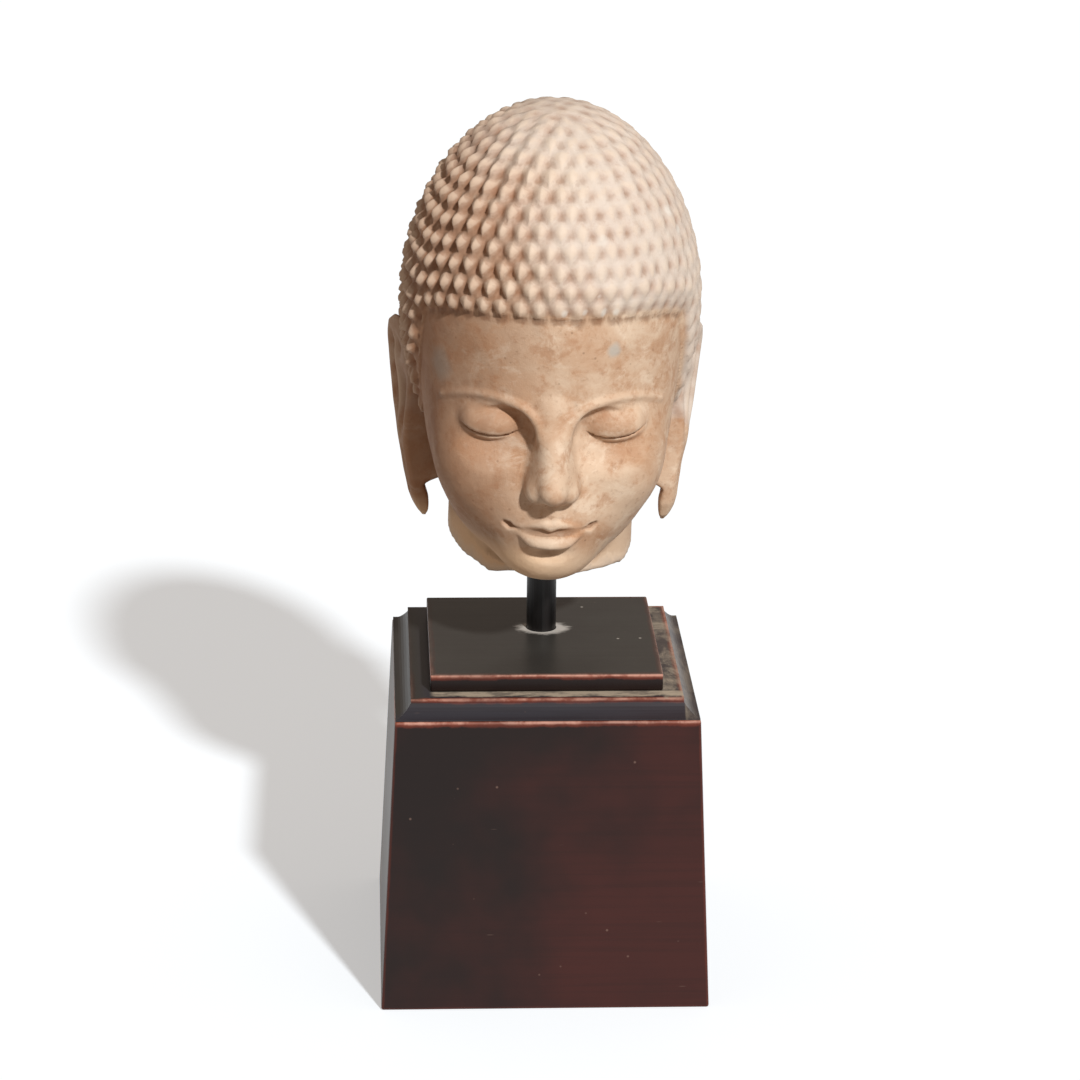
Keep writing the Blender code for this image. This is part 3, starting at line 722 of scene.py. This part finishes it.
print("tallest curl", round(float(lift.max()), 2), "parts")

# %% [markdown]
# The ears are long leaves with a raised rim, a hollow and a lobe that hangs free, as on such
# figures. Each is a loft of ovals, and a union with the head makes them one stone.

# %% Ears
EAR_TOP = 112.5
EAR_LOBE = 4.0
LOBE_SPREAD = 3.0
EAR_AROUND = 72
EAR_ROWS = 96


def ear_line(share):
    """Front edge and rear edge (Y) and outer reach (X), from 0 at the lobe's end to 1 at the top."""
    keys = (0.00, 0.03, 0.10, 0.22, 0.38, 0.55, 0.72, 0.86, 0.95, 1.00)
    front = np.interp(share, keys, (10.0, 6.5, 4.0, 3.5, 5.5, 6.0, 5.0, 7.0, 12.0, 20.0))
    rear = np.interp(share, keys, (14.0, 18.0, 21.0, 22.0, 23.5, 29.0, 34.5, 36.5, 33.0, 25.0))
    reach = np.interp(share, keys, (63.5, 65.5, 68.5, 72.0, 75.3, 78.8, 81.3, 82.8, 82.8, 80.5))
    return front, rear, reach


def ear_relief(u, share):
    """Depth below the rim, for u from -1 at the front edge to 1 at the rear edge."""
    edge = 1.0 - np.abs(u) ** 4
    hollow = np.exp(-((u + 0.20) / 0.40) ** 2 - ((share - 0.60) / 0.13) ** 2)
    groove = np.exp(-((u - 0.50) / 0.17) ** 2)
    groove = groove * step(share, 0.42, 0.56) * (1.0 - step(share, 0.86, 0.95))
    fork = np.exp(-((u + 0.05) / 0.30) ** 2 - ((share - 0.86) / 0.05) ** 2)
    slit = np.exp(-(u / 0.34) ** 2) * step(share, 0.07, 0.16) * (1.0 - step(share, 0.30, 0.40))
    return (8.0 * hollow + 3.2 * groove + 3.0 * fork + 2.2 * slit) * edge


def ear_grid(side):
    shares = 0.5 - 0.5 * np.cos(np.linspace(0.0, math.pi, EAR_ROWS))
    angles = np.arange(EAR_AROUND) / EAR_AROUND * 2.0 * math.pi
    share, angle = np.meshgrid(shares, angles, indexing="ij")
    share, angle = share.ravel(), angle.ravel()
    front, rear, reach = ear_line(share)
    u = np.cos(angle)
    half = (rear - front) / 2.0
    low = 1.0 - step(share, 0.0, 0.30)
    if side > 0.0:
        reach = reach + LOBE_SPREAD * low
    swell = np.sign(np.sin(angle)) * np.abs(np.sin(angle)) ** 0.6
    outer = np.sin(angle) > 0.0
    ends = np.minimum(1.0, np.sqrt(np.clip(4.0 * share * (1.0 - share), 0.02, 1.0)) * 1.6)
    thick = (4.3 + 1.0 * low) * ends
    root = (12.0 + 14.0 * (1.0 - step(share, 0.30, 0.62))) * step(share, 0.17, 0.27)
    root = root * (1.0 - step(share, 0.96, 1.0))
    flare = 0.20 + 0.20 * step(share, 0.30, 0.80)
    x = reach - (1.0 - u) * half * flare + thick * (swell - 0.2)
    x = x - np.where(outer, ear_relief(u, share), -root * swell)
    y = (front + rear) / 2.0 + half * u
    z = EAR_LOBE + (EAR_TOP - EAR_LOBE) * share
    return np.stack([side * x, y, z], 1)


def make_ear(side):
    bpy.ops.mesh.primitive_cylinder_add(vertices=EAR_AROUND, depth=1.0, end_fill_type="NGON")
    ear = bpy.context.active_object
    ear.name = "ear"
    cuts = EAR_ROWS - 2
    bpy.ops.object.mode_set(mode="EDIT")
    bpy.ops.mesh.select_all(action="DESELECT")
    bpy.ops.object.mode_set(mode="OBJECT")
    for edge in ear.data.edges:
        a, b = (ear.data.vertices[i].co for i in edge.vertices)
        edge.select = abs(a.z - b.z) > 0.5
    bpy.ops.object.mode_set(mode="EDIT")
    bpy.ops.mesh.select_mode(type="EDGE")
    bpy.ops.mesh.subdivide(number_cuts=cuts)
    bpy.ops.object.mode_set(mode="OBJECT")
    co = coords(ear.data)
    row = np.rint((co[:, 2] + 0.5) * (EAR_ROWS - 1)).astype(int)
    angle = np.arctan2(co[:, 1], co[:, 0])
    column = np.rint(angle / (2.0 * math.pi) * EAR_AROUND).astype(int) % EAR_AROUND
    set_coords(ear.data, ear_grid(side)[row * EAR_AROUND + column] * PART)
    bpy.ops.object.mode_set(mode="EDIT")
    bpy.ops.mesh.select_all(action="SELECT")
    bpy.ops.mesh.normals_make_consistent(inside=False)
    bpy.ops.object.mode_set(mode="OBJECT")
    return ear


def apply_modifier(target, kind, **settings):
    bpy.ops.object.select_all(action="DESELECT")
    target.select_set(True)
    bpy.context.view_layer.objects.active = target
    modifier = target.modifiers.new(kind, kind)
    for key, value in settings.items():
        setattr(modifier, key, value)
    bpy.ops.object.modifier_apply(modifier=modifier.name)


def apply_boolean(target, other, operation):
    apply_modifier(target, "BOOLEAN", operation=operation, solver="EXACT", object=other)
    bpy.data.objects.remove(other)


def apply_decimate(target, most):
    target.data.calc_loop_triangles()
    now = len(target.data.loop_triangles)
    if now > most:
        apply_modifier(target, "DECIMATE", ratio=most / now)


CARVED_TRIANGLES = 165000
FINISHED_TRIANGLES = 194000

apply_decimate(head, CARVED_TRIANGLES)
for side in (-1.0, 1.0):
    apply_boolean(head, make_ear(side), "UNION")
print("head with ears, faces", len(head.data.polygons))

# %% [markdown]
# The head leans forward and a little to its left over the rod, and the rod runs up into a drilled
# hole. The hole takes its place and width from the rod itself.

# %% Tilt the head and drill it
HEAD_PLACE = (-0.0010, 0.0015, 0.2392)
HEAD_PITCH = math.radians(5.0)
HEAD_ROLL = math.radians(1.3)
SOCKET_CLEARANCE = 0.0003

place = (Matrix.Translation(HEAD_PLACE) @ Matrix.Rotation(HEAD_ROLL, 4, "Y")
         @ Matrix.Rotation(HEAD_PITCH, 4, "X"))
head.data.transform(place)
rod_low, rod_high = (Vector(v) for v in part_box("mounting_rod"))
rod_axis = (rod_low + rod_high) / 2.0
rod_radius = (rod_high.x - rod_low.x) / 2.0
plate_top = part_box("stand_plate")[1][2]
socket_low = plate_top + 0.002
socket_high = rod_high.z + SOCKET_CLEARANCE
bpy.ops.mesh.primitive_cylinder_add(vertices=64, radius=rod_radius + SOCKET_CLEARANCE,
                                    depth=socket_high - socket_low,
                                    location=(rod_axis.x, rod_axis.y, (socket_low + socket_high) / 2.0))
socket = bpy.context.active_object
bpy.ops.object.transform_apply(location=True, rotation=True, scale=True)
apply_boolean(head, socket, "DIFFERENCE")
apply_decimate(head, FINISHED_TRIANGLES)
bpy.ops.object.select_all(action="DESELECT")
head.select_set(True)
bpy.context.view_layer.objects.active = head
bpy.ops.object.shade_smooth()
head.data.calc_loop_triangles()
print("carved head, triangles", len(head.data.loop_triangles))

# %% [markdown]
# The stone's colour follows its form: dirt stays in hollows and grooves, and handling polishes
# what stands proud. Six numbers are worked out for each vertex and kept as attributes that the
# material reads: how hollow the place is, how near a pit, how high on a curl, whether it is hair,
# how rubbed it is, and whether it is on the break.

# %% Numbers for the stone's colour
def keep_attribute(mesh, name, values):
    layer = mesh.attributes.new(name, "FLOAT", "POINT")
    layer.data.foreach_set("value", values.astype(np.float32))


points = coords(head.data)
out = normals(head.data)
pairs = edge_pairs(head.data)
length = np.linalg.norm(points[pairs[:, 0]] - points[pairs[:, 1]], axis=1).mean()
hollow = ((neighbour_mean(points, pairs) - points) * out).sum(1)[:, None] / length
for _ in range(3):
    hollow = 0.5 * hollow + 0.5 * neighbour_mean(hollow, pairs)
keep_attribute(head.data, "hollow", np.clip(hollow[:, 0] * 3.0, -1.0, 1.0))
back = np.array(place.inverted())
own = (points @ back[:3, :3].T + back[:3, 3]) / PART
above = head_form(own)
in_hair = step(from_edge(turn_of(own), own[:, 2]), 1.5, 5.0)
pit_gap = np.array([pit_tree.find(spot)[2] for spot in on_globe(own)])
keep_attribute(head.data, "pit", np.exp(-(pit_gap / PIT_RADIUS) ** 2) * in_hair)
keep_attribute(head.data, "curl", np.clip((above - HAIR_DEPTH) / CURL_HEIGHT, 0.0, 1.0))
keep_attribute(head.data, "hair", in_hair)
keep_attribute(head.data, "rubbed", worn_share(own))
broken = step(-(own[:, 2] - neck_break(own)), -3.5, -1.5) * (out[:, 2] < 0.25)
keep_attribute(head.data, "broken", broken)
print("hollow from", round(float(hollow.min()), 2), "to", round(float(hollow.max()), 2))

# %% [markdown]
# The stone is a warm tan with brown and orange clouds, cream where it is rubbed, a few grey and
# white deposits, and paler grain where the neck broke. Object coordinates fix every cloud in place.

# %% Worn stone
SAND_TAN = srgb(202, 169, 141)
PALE_TAN = srgb(218, 195, 171)
BROWN_CLOUD = srgb(181, 136, 102)
CREAM_CLOUD = srgb(228, 208, 186)
RUST_MOTTLE = srgb(172, 122, 86)
GREY_CLOUD = srgb(168, 150, 132)
DARK_GRAIN = srgb(140, 98, 68)
CRACKLE_LINE = srgb(222, 194, 162)
PEPPER = srgb(104, 72, 50)
PAINTED_SHADE_BROWN = srgb(148, 104, 74)
GREY_TINT = srgb(186, 182, 174)
DIM_GREY = srgb(152, 146, 138)
CHALK_TINT = srgb(232, 228, 220)
STONE_SPOTS = (
    ((0.0311, -0.0805, 0.3625), 0.0046, 0.80, GREY_TINT),
    ((-0.0559, -0.0526, 0.3475), 0.0105, 0.50, DIM_GREY),
    ((0.0054, -0.0902, 0.3837), 0.0024, 0.65, CHALK_TINT),
    ((0.0156, -0.0886, 0.3842), 0.0020, 0.55, CHALK_TINT),
    ((0.0253, -0.0856, 0.3833), 0.0030, 0.80, CHALK_TINT),
    ((0.0316, -0.0847, 0.3826), 0.0026, 0.75, CHALK_TINT),
    ((0.0217, -0.0854, 0.3926), 0.0025, 0.70, CHALK_TINT),
    ((0.0242, -0.0790, 0.4193), 0.0034, 0.40, CHALK_TINT),
    ((0.0594, -0.0419, 0.4251), 0.0036, 0.60, CHALK_TINT),
    ((0.0641, -0.0398, 0.4148), 0.0034, 0.60, CHALK_TINT),
)

stone, tree, shader = new_material("worn_stone")
where = put(tree, "ShaderNodeTexCoord").outputs["Object"]


def attribute(name):
    return put(tree, "ShaderNodeAttribute", attribute_name=name).outputs["Fac"]


def spot(centre, radius, ragged=0.5):
    """A ragged round patch: 1 at its centre, 0 outside."""
    gap = vector_math("DISTANCE", where, centre, "Value")
    wave = clouds(where, 160.0, 3.0)
    wide = times(wave, radius * ragged * 2.0, radius * (1.0 - ragged))
    return ease(calc("DIVIDE", gap, wide), 0.35, 1.15, 1.0, 0.0)


broad = clouds(where, 15.0, 5.0, 0.6, 0.4)
middle = clouds(where, 36.0, 7.0, 0.66, 0.3)
small = clouds(where, 95.0, 6.0, 0.68, 0.2)
fine = clouds(where, 300.0, 5.0, 0.7)
sand = clouds(where, 1100.0, 2.0, 0.6)
shifted = stretched(where, (1.0, 1.0, 1.3), (3.1, 0.0, 1.7))
creamy = clouds(shifted, 42.0, 7.0, 0.70, 0.4)
shifted = stretched(where, (1.0, 1.0, 0.8), (0.0, 5.3, 2.2))
greyed = clouds(shifted, 24.0, 5.0, 0.62)
color = mix(ease(broad, 0.36, 0.66), SAND_TAN, PALE_TAN)
layers = (
    (middle, 0.46, 0.64, 0.70, BROWN_CLOUD),
    (creamy, 0.51, 0.63, 0.66, CREAM_CLOUD),
    (small, 0.51, 0.67, 0.52, RUST_MOTTLE),
    (greyed, 0.56, 0.72, 0.45, GREY_CLOUD),
    (fine, 0.54, 0.72, 0.36, DARK_GRAIN),
)
for pattern, low, high, cover, tint in layers:
    color = mix(ease(pattern, low, high, 0.0, cover), color, tint)
cells = put(tree, "ShaderNodeTexVoronoi", {"Vector": where, "Scale": 120.0},
            feature="DISTANCE_TO_EDGE").outputs
crackle = times(ease(cells["Distance"], 0.0, 0.05, 1.0, 0.0), ease(middle, 0.46, 0.58, 0.0, 0.16))
color = mix(crackle, color, CRACKLE_LINE)
flecks = put(tree, "ShaderNodeTexVoronoi", {"Vector": where, "Scale": 330.0}).outputs
picked = first_of(flecks["Color"])
fleck = times(calc("GREATER_THAN", picked, 0.965),
              ease(flecks["Distance"], 0.14, 0.30, 0.40, 0.0))
color = mix(fleck, color, PEPPER)
print("clouds and mottles laid")

# %% [markdown]
# The left side is painted a darker warm brown, which is painted shade. The rubbed right side and
# the top of the hair are paler, partly from wear and partly as painted light. The lower neck is
# painted lighter on its shaded left side, as painted bounce light. Dirt stays in the pits and
# between the curls, and edges that stand proud are lighter.

# %% Worn, dirty and pale places, with painted shade and painted light
PALE_HAIR_AND_LIGHT = srgb(220, 211, 202)
HAIR_GROOVE = srgb(150, 108, 78)
PIT_STAIN = srgb(156, 108, 76)
DEEP_DIRT = srgb(118, 80, 54)
PROUD_EDGE = srgb(232, 212, 190)
FRESH_BREAK = srgb(216, 198, 180)
NECK_PAINTED_BOUNCE = srgb(242, 208, 170)
NECK_LIT_SIDE_PAINTED = srgb(204, 178, 152)
NECK_LOW = 0.244
NECK_HIGH = 0.262

hair_mask = attribute("hair")
worn_mask = attribute("rubbed")
axes = axes_of(where)
place_x, place_z = axes[0], axes[2]
# Painted shade: the left side of the stone is painted a darker brown.
painted_shade_left = ease(times(middle, 0.030, place_x), -0.048, 0.024, 1.0, 0.0)
painted_shade_left = times(painted_shade_left, ease(place_x, -0.082, -0.070, 0.40, 1.0))
painted_shade_left = times(painted_shade_left, ease(middle, 0.34, 0.62, 0.90, 0.64))
color = mix(painted_shade_left, color, PAINTED_SHADE_BROWN)
# Painted bounce light: the lower neck is painted lighter, most on its shaded left side and less on its
# lit right side; part of it is paler stone near the break.
painted_neck_light = mix(ease(place_x, -0.030, 0.030), NECK_PAINTED_BOUNCE, NECK_LIT_SIDE_PAINTED)
color = mix(ease(place_z, NECK_LOW, NECK_HIGH, 0.85, 0.0), color, painted_neck_light)
# Rubbed hair is paler from wear, and the same paleness on the right and top is also painted light.
pale_and_lit = times(hair_mask, times(worn_mask, 0.66, 0.14))
pale_and_lit = times(pale_and_lit, ease(fine, 0.45, 0.75, 1.0, 0.75))
color = mix(pale_and_lit, color, PALE_HAIR_AND_LIGHT)
groove = times(hair_mask, ease(attribute("curl"), 0.0, 0.30, 1.0, 0.0))
groove = times(groove, times(worn_mask, -0.70, 1.0))
color = mix(times(groove, 0.42), color, HAIR_GROOVE)
stain = ease(middle, 0.38, 0.58, 0.34, 0.72)
stain = times(attribute("pit"), stain)
stain = times(stain, times(worn_mask, -0.30, 1.0))
color = mix(stain, color, PIT_STAIN)
deep = ease(attribute("hollow"), 0.02, 0.22)
deep = times(deep, times(hair_mask, -0.55, 1.0))
color = mix(times(deep, 0.55), color, DEEP_DIRT)
proud = ease(attribute("hollow"), -0.25, -0.03, 1.0, 0.0)
color = mix(times(proud, 0.40), color, PROUD_EDGE)
color = mix(times(attribute("broken"), 0.75), color, FRESH_BREAK)
for centre, radius, strength, tint in STONE_SPOTS:
    color = mix(times(spot(centre, radius), strength), color, tint)
print("spots", len(STONE_SPOTS))

# %% [markdown]
# The stone is matt, with a sandy grain too fine for the mesh, so that grain is a bump. The finished
# piece stands in for the CAD head: it rides on the same body and takes that node's place.

# %% Grain of the stone
height = times(fine, 0.6, times(sand, 0.25))
bump = put(tree, "ShaderNodeBump", {"Strength": 0.45, "Distance": 0.0010, "Height": height})
feed(tree, shader, {"Base Color": color, "Roughness": times(small, 0.20, 0.58),
                    "Specular IOR Level": 0.30, "Normal": bump.outputs["Normal"]})

head.data.materials.clear()
head.data.materials.append(stone)
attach(head, "root")
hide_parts("stone_head")
print("stone finished")

# %% [markdown]
# Three shared effects make old lacquer: arrises rubbed down to red-brown, a streaky grain under
# the coat, and fine specks. Each is a node group with named sockets, so each piece can use it with
# its own sizes.

# %% Shared lacquer effects
def new_group(name, inputs, outputs):
    group = bpy.data.node_groups.new(name, "ShaderNodeTree")
    for label, kind, value in inputs:
        made = group.interface.new_socket(label, in_out="INPUT", socket_type=kind)
        made.default_value = value
    for label, kind in outputs:
        group.interface.new_socket(label, in_out="OUTPUT", socket_type=kind)
    return group, group.nodes.new("NodeGroupInput"), group.nodes.new("NodeGroupOutput")


FLOAT = "NodeSocketFloat"
LEFT_ARRIS = (-0.060, -0.058)
LEFT_FADE = (-0.050, -0.020)
sizes = [("Foot Half", FLOAT, 0.05), ("Top Half", FLOAT, 0.05), ("Foot Height", FLOAT, 0.0),
         ("Top Height", FLOAT, 0.1), ("Width", FLOAT, 0.002), ("Corners", FLOAT, 0.0)]
rubbed_arris, given, made = new_group(
    "rubbed_arris", sizes, [("Wear", FLOAT), ("Arris Distance", FLOAT)])
tree = rubbed_arris
given = given.outputs
where = put(tree, "ShaderNodeTexCoord").outputs["Object"]
x, y, z = axes_of(where)
share = put(tree, "ShaderNodeMapRange", (z, given["Foot Height"], given["Top Height"],
                                         given["Foot Half"], given["Top Half"])).outputs[0]
gap_x, gap_y = (
    calc("ABSOLUTE", calc("SUBTRACT", share, calc("ABSOLUTE", axis)))
    for axis in (x, y))
low_gap = calc("MINIMUM", gap_x, gap_y)
corner_gap = calc("MAXIMUM", gap_x, gap_y)
top_gap = calc("MAXIMUM", low_gap, calc("SUBTRACT", given["Top Height"], z))
foot_gap = calc("MAXIMUM", low_gap, calc("SUBTRACT", z, given["Foot Height"]))
broken_line = clouds(where, 60.0, 5.0, 0.65)
wide = times(given["Width"], ease(broken_line, 0.34, 0.62, 0.80, 1.12))
arris_gap = calc("DIVIDE", top_gap, wide)
top_wear = ease(arris_gap, 0.55, 1.0, 1.0, 0.0)
other_gap = calc("DIVIDE", calc("MINIMUM", corner_gap, foot_gap), times(wide, 0.5))
other_wear = times(ease(other_gap, 0.4, 1.0, 1.0, 0.0), given["Corners"])
wear = calc("MAXIMUM", top_wear, other_wear)
behind = times(ease(x, *LEFT_ARRIS, 1.0, 0.0), ease(y, *LEFT_FADE, 0.0, 0.75))
wear = times(wear, calc("SUBTRACT", 1.0, behind))
wear = times(wear, ease(clouds(where, 22.0, 4.0), 0.36, 0.54, 0.70, 1.0))
feed(tree, made, {"Wear": wear, "Arris Distance": arris_gap})

streaks, given, made = new_group(
    "lacquer_streaks", [("Across", "NodeSocketVector", (3.0, 3.0, 120.0))],
    [("Streak", FLOAT), ("Speck", FLOAT), ("Scratch", FLOAT)])
tree = streaks
where = put(tree, "ShaderNodeTexCoord").outputs["Object"]
drawn = vector_math("MULTIPLY", where, given.outputs["Across"], 0)
grain_line = clouds(drawn, 3.0, 6.0, 0.6, 0.2)
cells = put(tree, "ShaderNodeTexVoronoi", {"Vector": where, "Scale": 85.0}).outputs
kept = calc("GREATER_THAN", first_of(cells["Color"]), 0.60)
speck = times(kept, ease(cells["Distance"], 0.02, 0.08, 1.0, 0.0))
bent = {"Vector": where, "Rotation": (0.5, 0.9, 0.4), "Scale": (60.0, 400.0, 400.0)}
tilted = put(tree, "ShaderNodeMapping", bent).outputs[0]
dashes = put(tree, "ShaderNodeTexVoronoi", {"Vector": tilted, "Scale": 1.0}).outputs
chosen = calc("GREATER_THAN", first_of(dashes["Color"], 1), 0.97)
line = times(chosen, ease(dashes["Distance"], 0.05, 0.16, 1.0, 0.0))
feed(tree, made, {"Streak": grain_line, "Speck": speck, "Scratch": line})
print("groups", [group.name for group in bpy.data.node_groups])

# %% [markdown]
# The stand is ebonised wood under a satin lacquer. The coat is nearly black with a red-brown cast,
# the grain runs level, and the arrises are rubbed to red-brown wood with a painted highlight along
# their middle. The CAD pieces keep their shape and take the finish, each with its own sizes in the
# arris group.

# %% Lacquered wood
STREAK_DARK = srgb(30, 18, 16)
SCRATCH_GREY = srgb(120, 100, 92)
SPECK_PALE = srgb(160, 132, 120)
BARE_HIGHLIGHT = srgb(204, 150, 132)
BARE_RED = srgb(150, 86, 68)
BARE_EDGE = srgb(104, 48, 36)
ARRIS_COVER = 0.88
LACQUER_GLOSS = 0.26


def lacquer(name, foot, top, low, high, width, corners, across, dark, red):
    """Lacquer for one piece. Foot and top are half its sides, low and high its heights."""
    material, tree, shader = new_material(name)
    fitted = {"Foot Half": foot, "Top Half": top, "Foot Height": low, "Top Height": high,
              "Width": width, "Corners": corners}
    arris = put(tree, "ShaderNodeGroup", fitted, node_tree=rubbed_arris).outputs
    grain = put(tree, "ShaderNodeGroup", {"Across": across}, node_tree=streaks).outputs
    where = put(tree, "ShaderNodeTexCoord").outputs["Object"]
    cast = times(clouds(where, 8.0, 4.0, 0.6), 0.70, 0.15)
    cast = times(axes_of(where)[0], 0.9, cast)
    color = mix(ease(cast, 0.36, 0.64), dark, red)
    streak = ease(grain["Streak"], 0.40, 0.70, 0.0, 0.25)
    color = mix(streak, color, STREAK_DARK)
    scratch = times(grain["Scratch"], 0.25)
    color = mix(scratch, color, SCRATCH_GREY)
    speck = times(grain["Speck"], 0.32)
    color = mix(speck, color, SPECK_PALE)
    # Painted highlight: the middle of each rubbed arris is painted bright pink, and the rest is bare
    # red-brown wood.
    patchy = ease(clouds(where, 70.0, 4.0, 0.7), 0.42, 0.62)
    bare_and_highlight = mix(patchy, BARE_HIGHLIGHT, BARE_RED)
    outer = ease(arris["Arris Distance"], 0.15, 0.60)
    bare_and_highlight = mix(outer, bare_and_highlight, BARE_EDGE)
    worn = times(arris["Wear"], ARRIS_COVER)
    color = mix(worn, color, bare_and_highlight)
    rough = times(arris["Wear"], 0.12, times(grain["Streak"], 0.10, 0.27))
    bump = put(tree, "ShaderNodeBump", {"Strength": 0.08, "Distance": 0.0004,
                                        "Height": grain["Streak"]})
    feed(tree, shader, {"Specular IOR Level": LACQUER_GLOSS, "Roughness": rough,
                        "Normal": bump.outputs["Normal"]})
    return material, tree, shader, color, where


def dress(node, material):
    target = bpy.data.objects[node]
    target.data.materials.clear()
    target.data.materials.append(material)


def half_side(node):
    low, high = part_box(node)
    return (high[0] - low[0]) / 2.0, low[2], high[2]


BLOCK_TOP_HALF = 0.0800
BLOCK_ARRIS = 0.0035
BLOCK_DARK = srgb(26, 16, 14)
BLOCK_RED = srgb(62, 28, 24)
LEVEL_GRAIN = (3.0, 3.0, 120.0)

half, low, high = half_side("stand_block")
block_finish, tree, shader, color, where = lacquer(
    "block_lacquer", half, BLOCK_TOP_HALF, low, high, BLOCK_ARRIS, 0.5, LEVEL_GRAIN,
    BLOCK_DARK, BLOCK_RED)
feed(tree, shader, {"Base Color": color})
dress("stand_block", block_finish)
print("block dressed")

# %% [markdown]
# Beige dust has settled on the moulding's shelf, in a thin ragged band before the plate and in
# mottles on the right. The moulding itself is duller than the block.

# %% Moulding
CAP_TOP_HALF = 0.0715
CAP_ARRIS = 0.0030
CAP_GLOSS = 0.17
CAP_DARK = srgb(51, 50, 56)
CAP_RED = srgb(55, 49, 54)
CAP_OLIVE = srgb(50, 48, 44)
SHELF_DUST = srgb(176, 163, 145)
SIDE_DUST = srgb(166, 154, 136)
MM = 0.001

plate_half, plate_low, plate_high = half_side("stand_plate")
cap_low, cap_high = half_side("stand_cap")[1:]
cap_finish, tree, shader, color, where = lacquer(
    "cap_lacquer", CAP_TOP_HALF, CAP_TOP_HALF, cap_low - 1.0, cap_high, CAP_ARRIS, 0.0,
    LEVEL_GRAIN, CAP_DARK, CAP_RED)
feed(tree, shader, {"Specular IOR Level": CAP_GLOSS})
x, y, z = axes_of(where)
flat = ease(z, cap_high - 0.6 * MM, cap_high - 0.2 * MM)
ragged = clouds(stretched(where, (0.4, 1.0, 1.0)), 150.0, 5.0, 0.7)
to_front = times(y, -1.0)
band_end = times(ragged, -9.0 * MM, to_front)
band = ease(band_end, plate_half + 0.5 * MM, plate_half + 3.5 * MM, 1.0, 0.0)
band = times(band, ease(to_front, plate_half - MM, plate_half))
band = times(band, ease(x, -plate_half - MM, 3.0 * MM - plate_half))
olive = times(ease(x, -69.0 * MM, -62.0 * MM, 0.85, 0.0), ease(y, -72.5 * MM, -70.5 * MM))
color = mix(olive, color, CAP_OLIVE)
mottle = clouds(stretched(where, (1.0, 0.42, 1.0)), 80.0, 6.0, 0.72, 0.4)
mottle = ease(mottle, 0.40, 0.62, 0.12, 0.78)
shelf = times(ease(x, plate_half - MM, plate_half + MM), mottle)
settled = times(flat, calc("MAXIMUM", band, shelf))
dust = times(settled, ease(ragged, 0.38, 0.58, 0.42, 1.0))
color = mix(dust, color, SHELF_DUST)
side = times(ease(x, CAP_TOP_HALF, CAP_TOP_HALF + MM, 0.0, 0.45), mottle)
color = mix(side, color, SIDE_DUST)
feed(tree, shader, {"Base Color": color})
dress("stand_cap", cap_finish)
print("moulding dressed")

# %% [markdown]
# The plate's top carries a thin grey film, painted lighter as a painted reflection of the pale
# surroundings, and a pale ragged ring of old residue lies round the rod's foot, wider toward the right.

# %% Plate
PLATE_ARRIS = 0.0033
PLATE_GRAIN = (3.0, 90.0, 120.0)
PLATE_DARK = srgb(24, 14, 12)
PLATE_RED = srgb(30, 17, 15)
PLATE_FILM_AND_SHEEN = srgb(68, 67, 64)
RESIDUE = srgb(206, 202, 196)
RESIDUE_SHIFT = (0.0012, -0.0016)
PALE_SPECK = srgb(196, 190, 182)
SPECK_PLACES = ((0.0408, -0.0068), (0.0528, -0.0062), (0.0241, 0.0438))

plate_finish, tree, shader, color, where = lacquer(
    "plate_lacquer", plate_half, plate_half, plate_low, plate_high, PLATE_ARRIS, 0.0,
    PLATE_GRAIN, PLATE_DARK, PLATE_RED)
on_top = ease(axes_of(where)[2], plate_high - 0.4 * MM, plate_high - 0.1 * MM)
# The top's grey film is partly a real film and partly a painted reflection of the pale surroundings.
film_and_sheen = ease(clouds(where, 14.0, 4.0, 0.6), 0.3, 0.7, 0.62, 0.82)
color = mix(times(on_top, film_and_sheen), color, PLATE_FILM_AND_SHEEN)
ring_at = (rod_axis.x + RESIDUE_SHIFT[0], rod_axis.y + RESIDUE_SHIFT[1], plate_high)
from_rod = vector_math("SUBTRACT", where, ring_at, 0)
from_rod = stretched(from_rod, (0.74, 1.02, 0.0))
gap = vector_math("DISTANCE", from_rod, (0.0, 0.0, 0.0), "Value")
ragged = clouds(stretched(where, (1.0, 2.4, 1.0)), 110.0, 5.0, 0.7, 0.4)
gap = times(ragged, -10.0 * MM, gap)
ring = ease(gap, rod_radius - 5.5 * MM, rod_radius - 1.0 * MM, 1.0, 0.0)
residue = times(times(ring, on_top), 0.92)
color = mix(residue, color, RESIDUE)
for x, y in SPECK_PLACES:
    gap = vector_math("DISTANCE", where, (x, y, plate_high), "Value")
    color = mix(ease(gap, 0.4 * MM, MM, 0.75, 0.0), color, PALE_SPECK)
feed(tree, shader, {"Base Color": color})
dress("stand_plate", plate_finish)
print("plate dressed")

# %% [markdown]
# The rod is blackened bar. It is smooth and dark, with only a faint drawn line along it.

# %% Blackened rod
ROD_DARK = srgb(15, 13, 13)
ROD_SHEEN = srgb(29, 26, 26)

rod_finish, tree, shader = new_material("blackened_rod")
where = put(tree, "ShaderNodeTexCoord").outputs["Object"]
drawn = clouds(stretched(where, (260.0, 260.0, 8.0)), 1.0, 3.0)
color = mix(ease(drawn, 0.4, 0.65), ROD_DARK, ROD_SHEEN)
feed(tree, shader, {"Base Color": color, "Roughness": times(drawn, 0.2, 0.28),
                    "Metallic": 0.35})
dress("mounting_rod", rod_finish)

# %% Measure the sizes and finish
visual_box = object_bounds()
sizes = {"cad": [list(map(float, corner)) for corner in cad_box],
         "visual": [list(map(float, corner)) for corner in visual_box]}
print("visual box", visual_box)
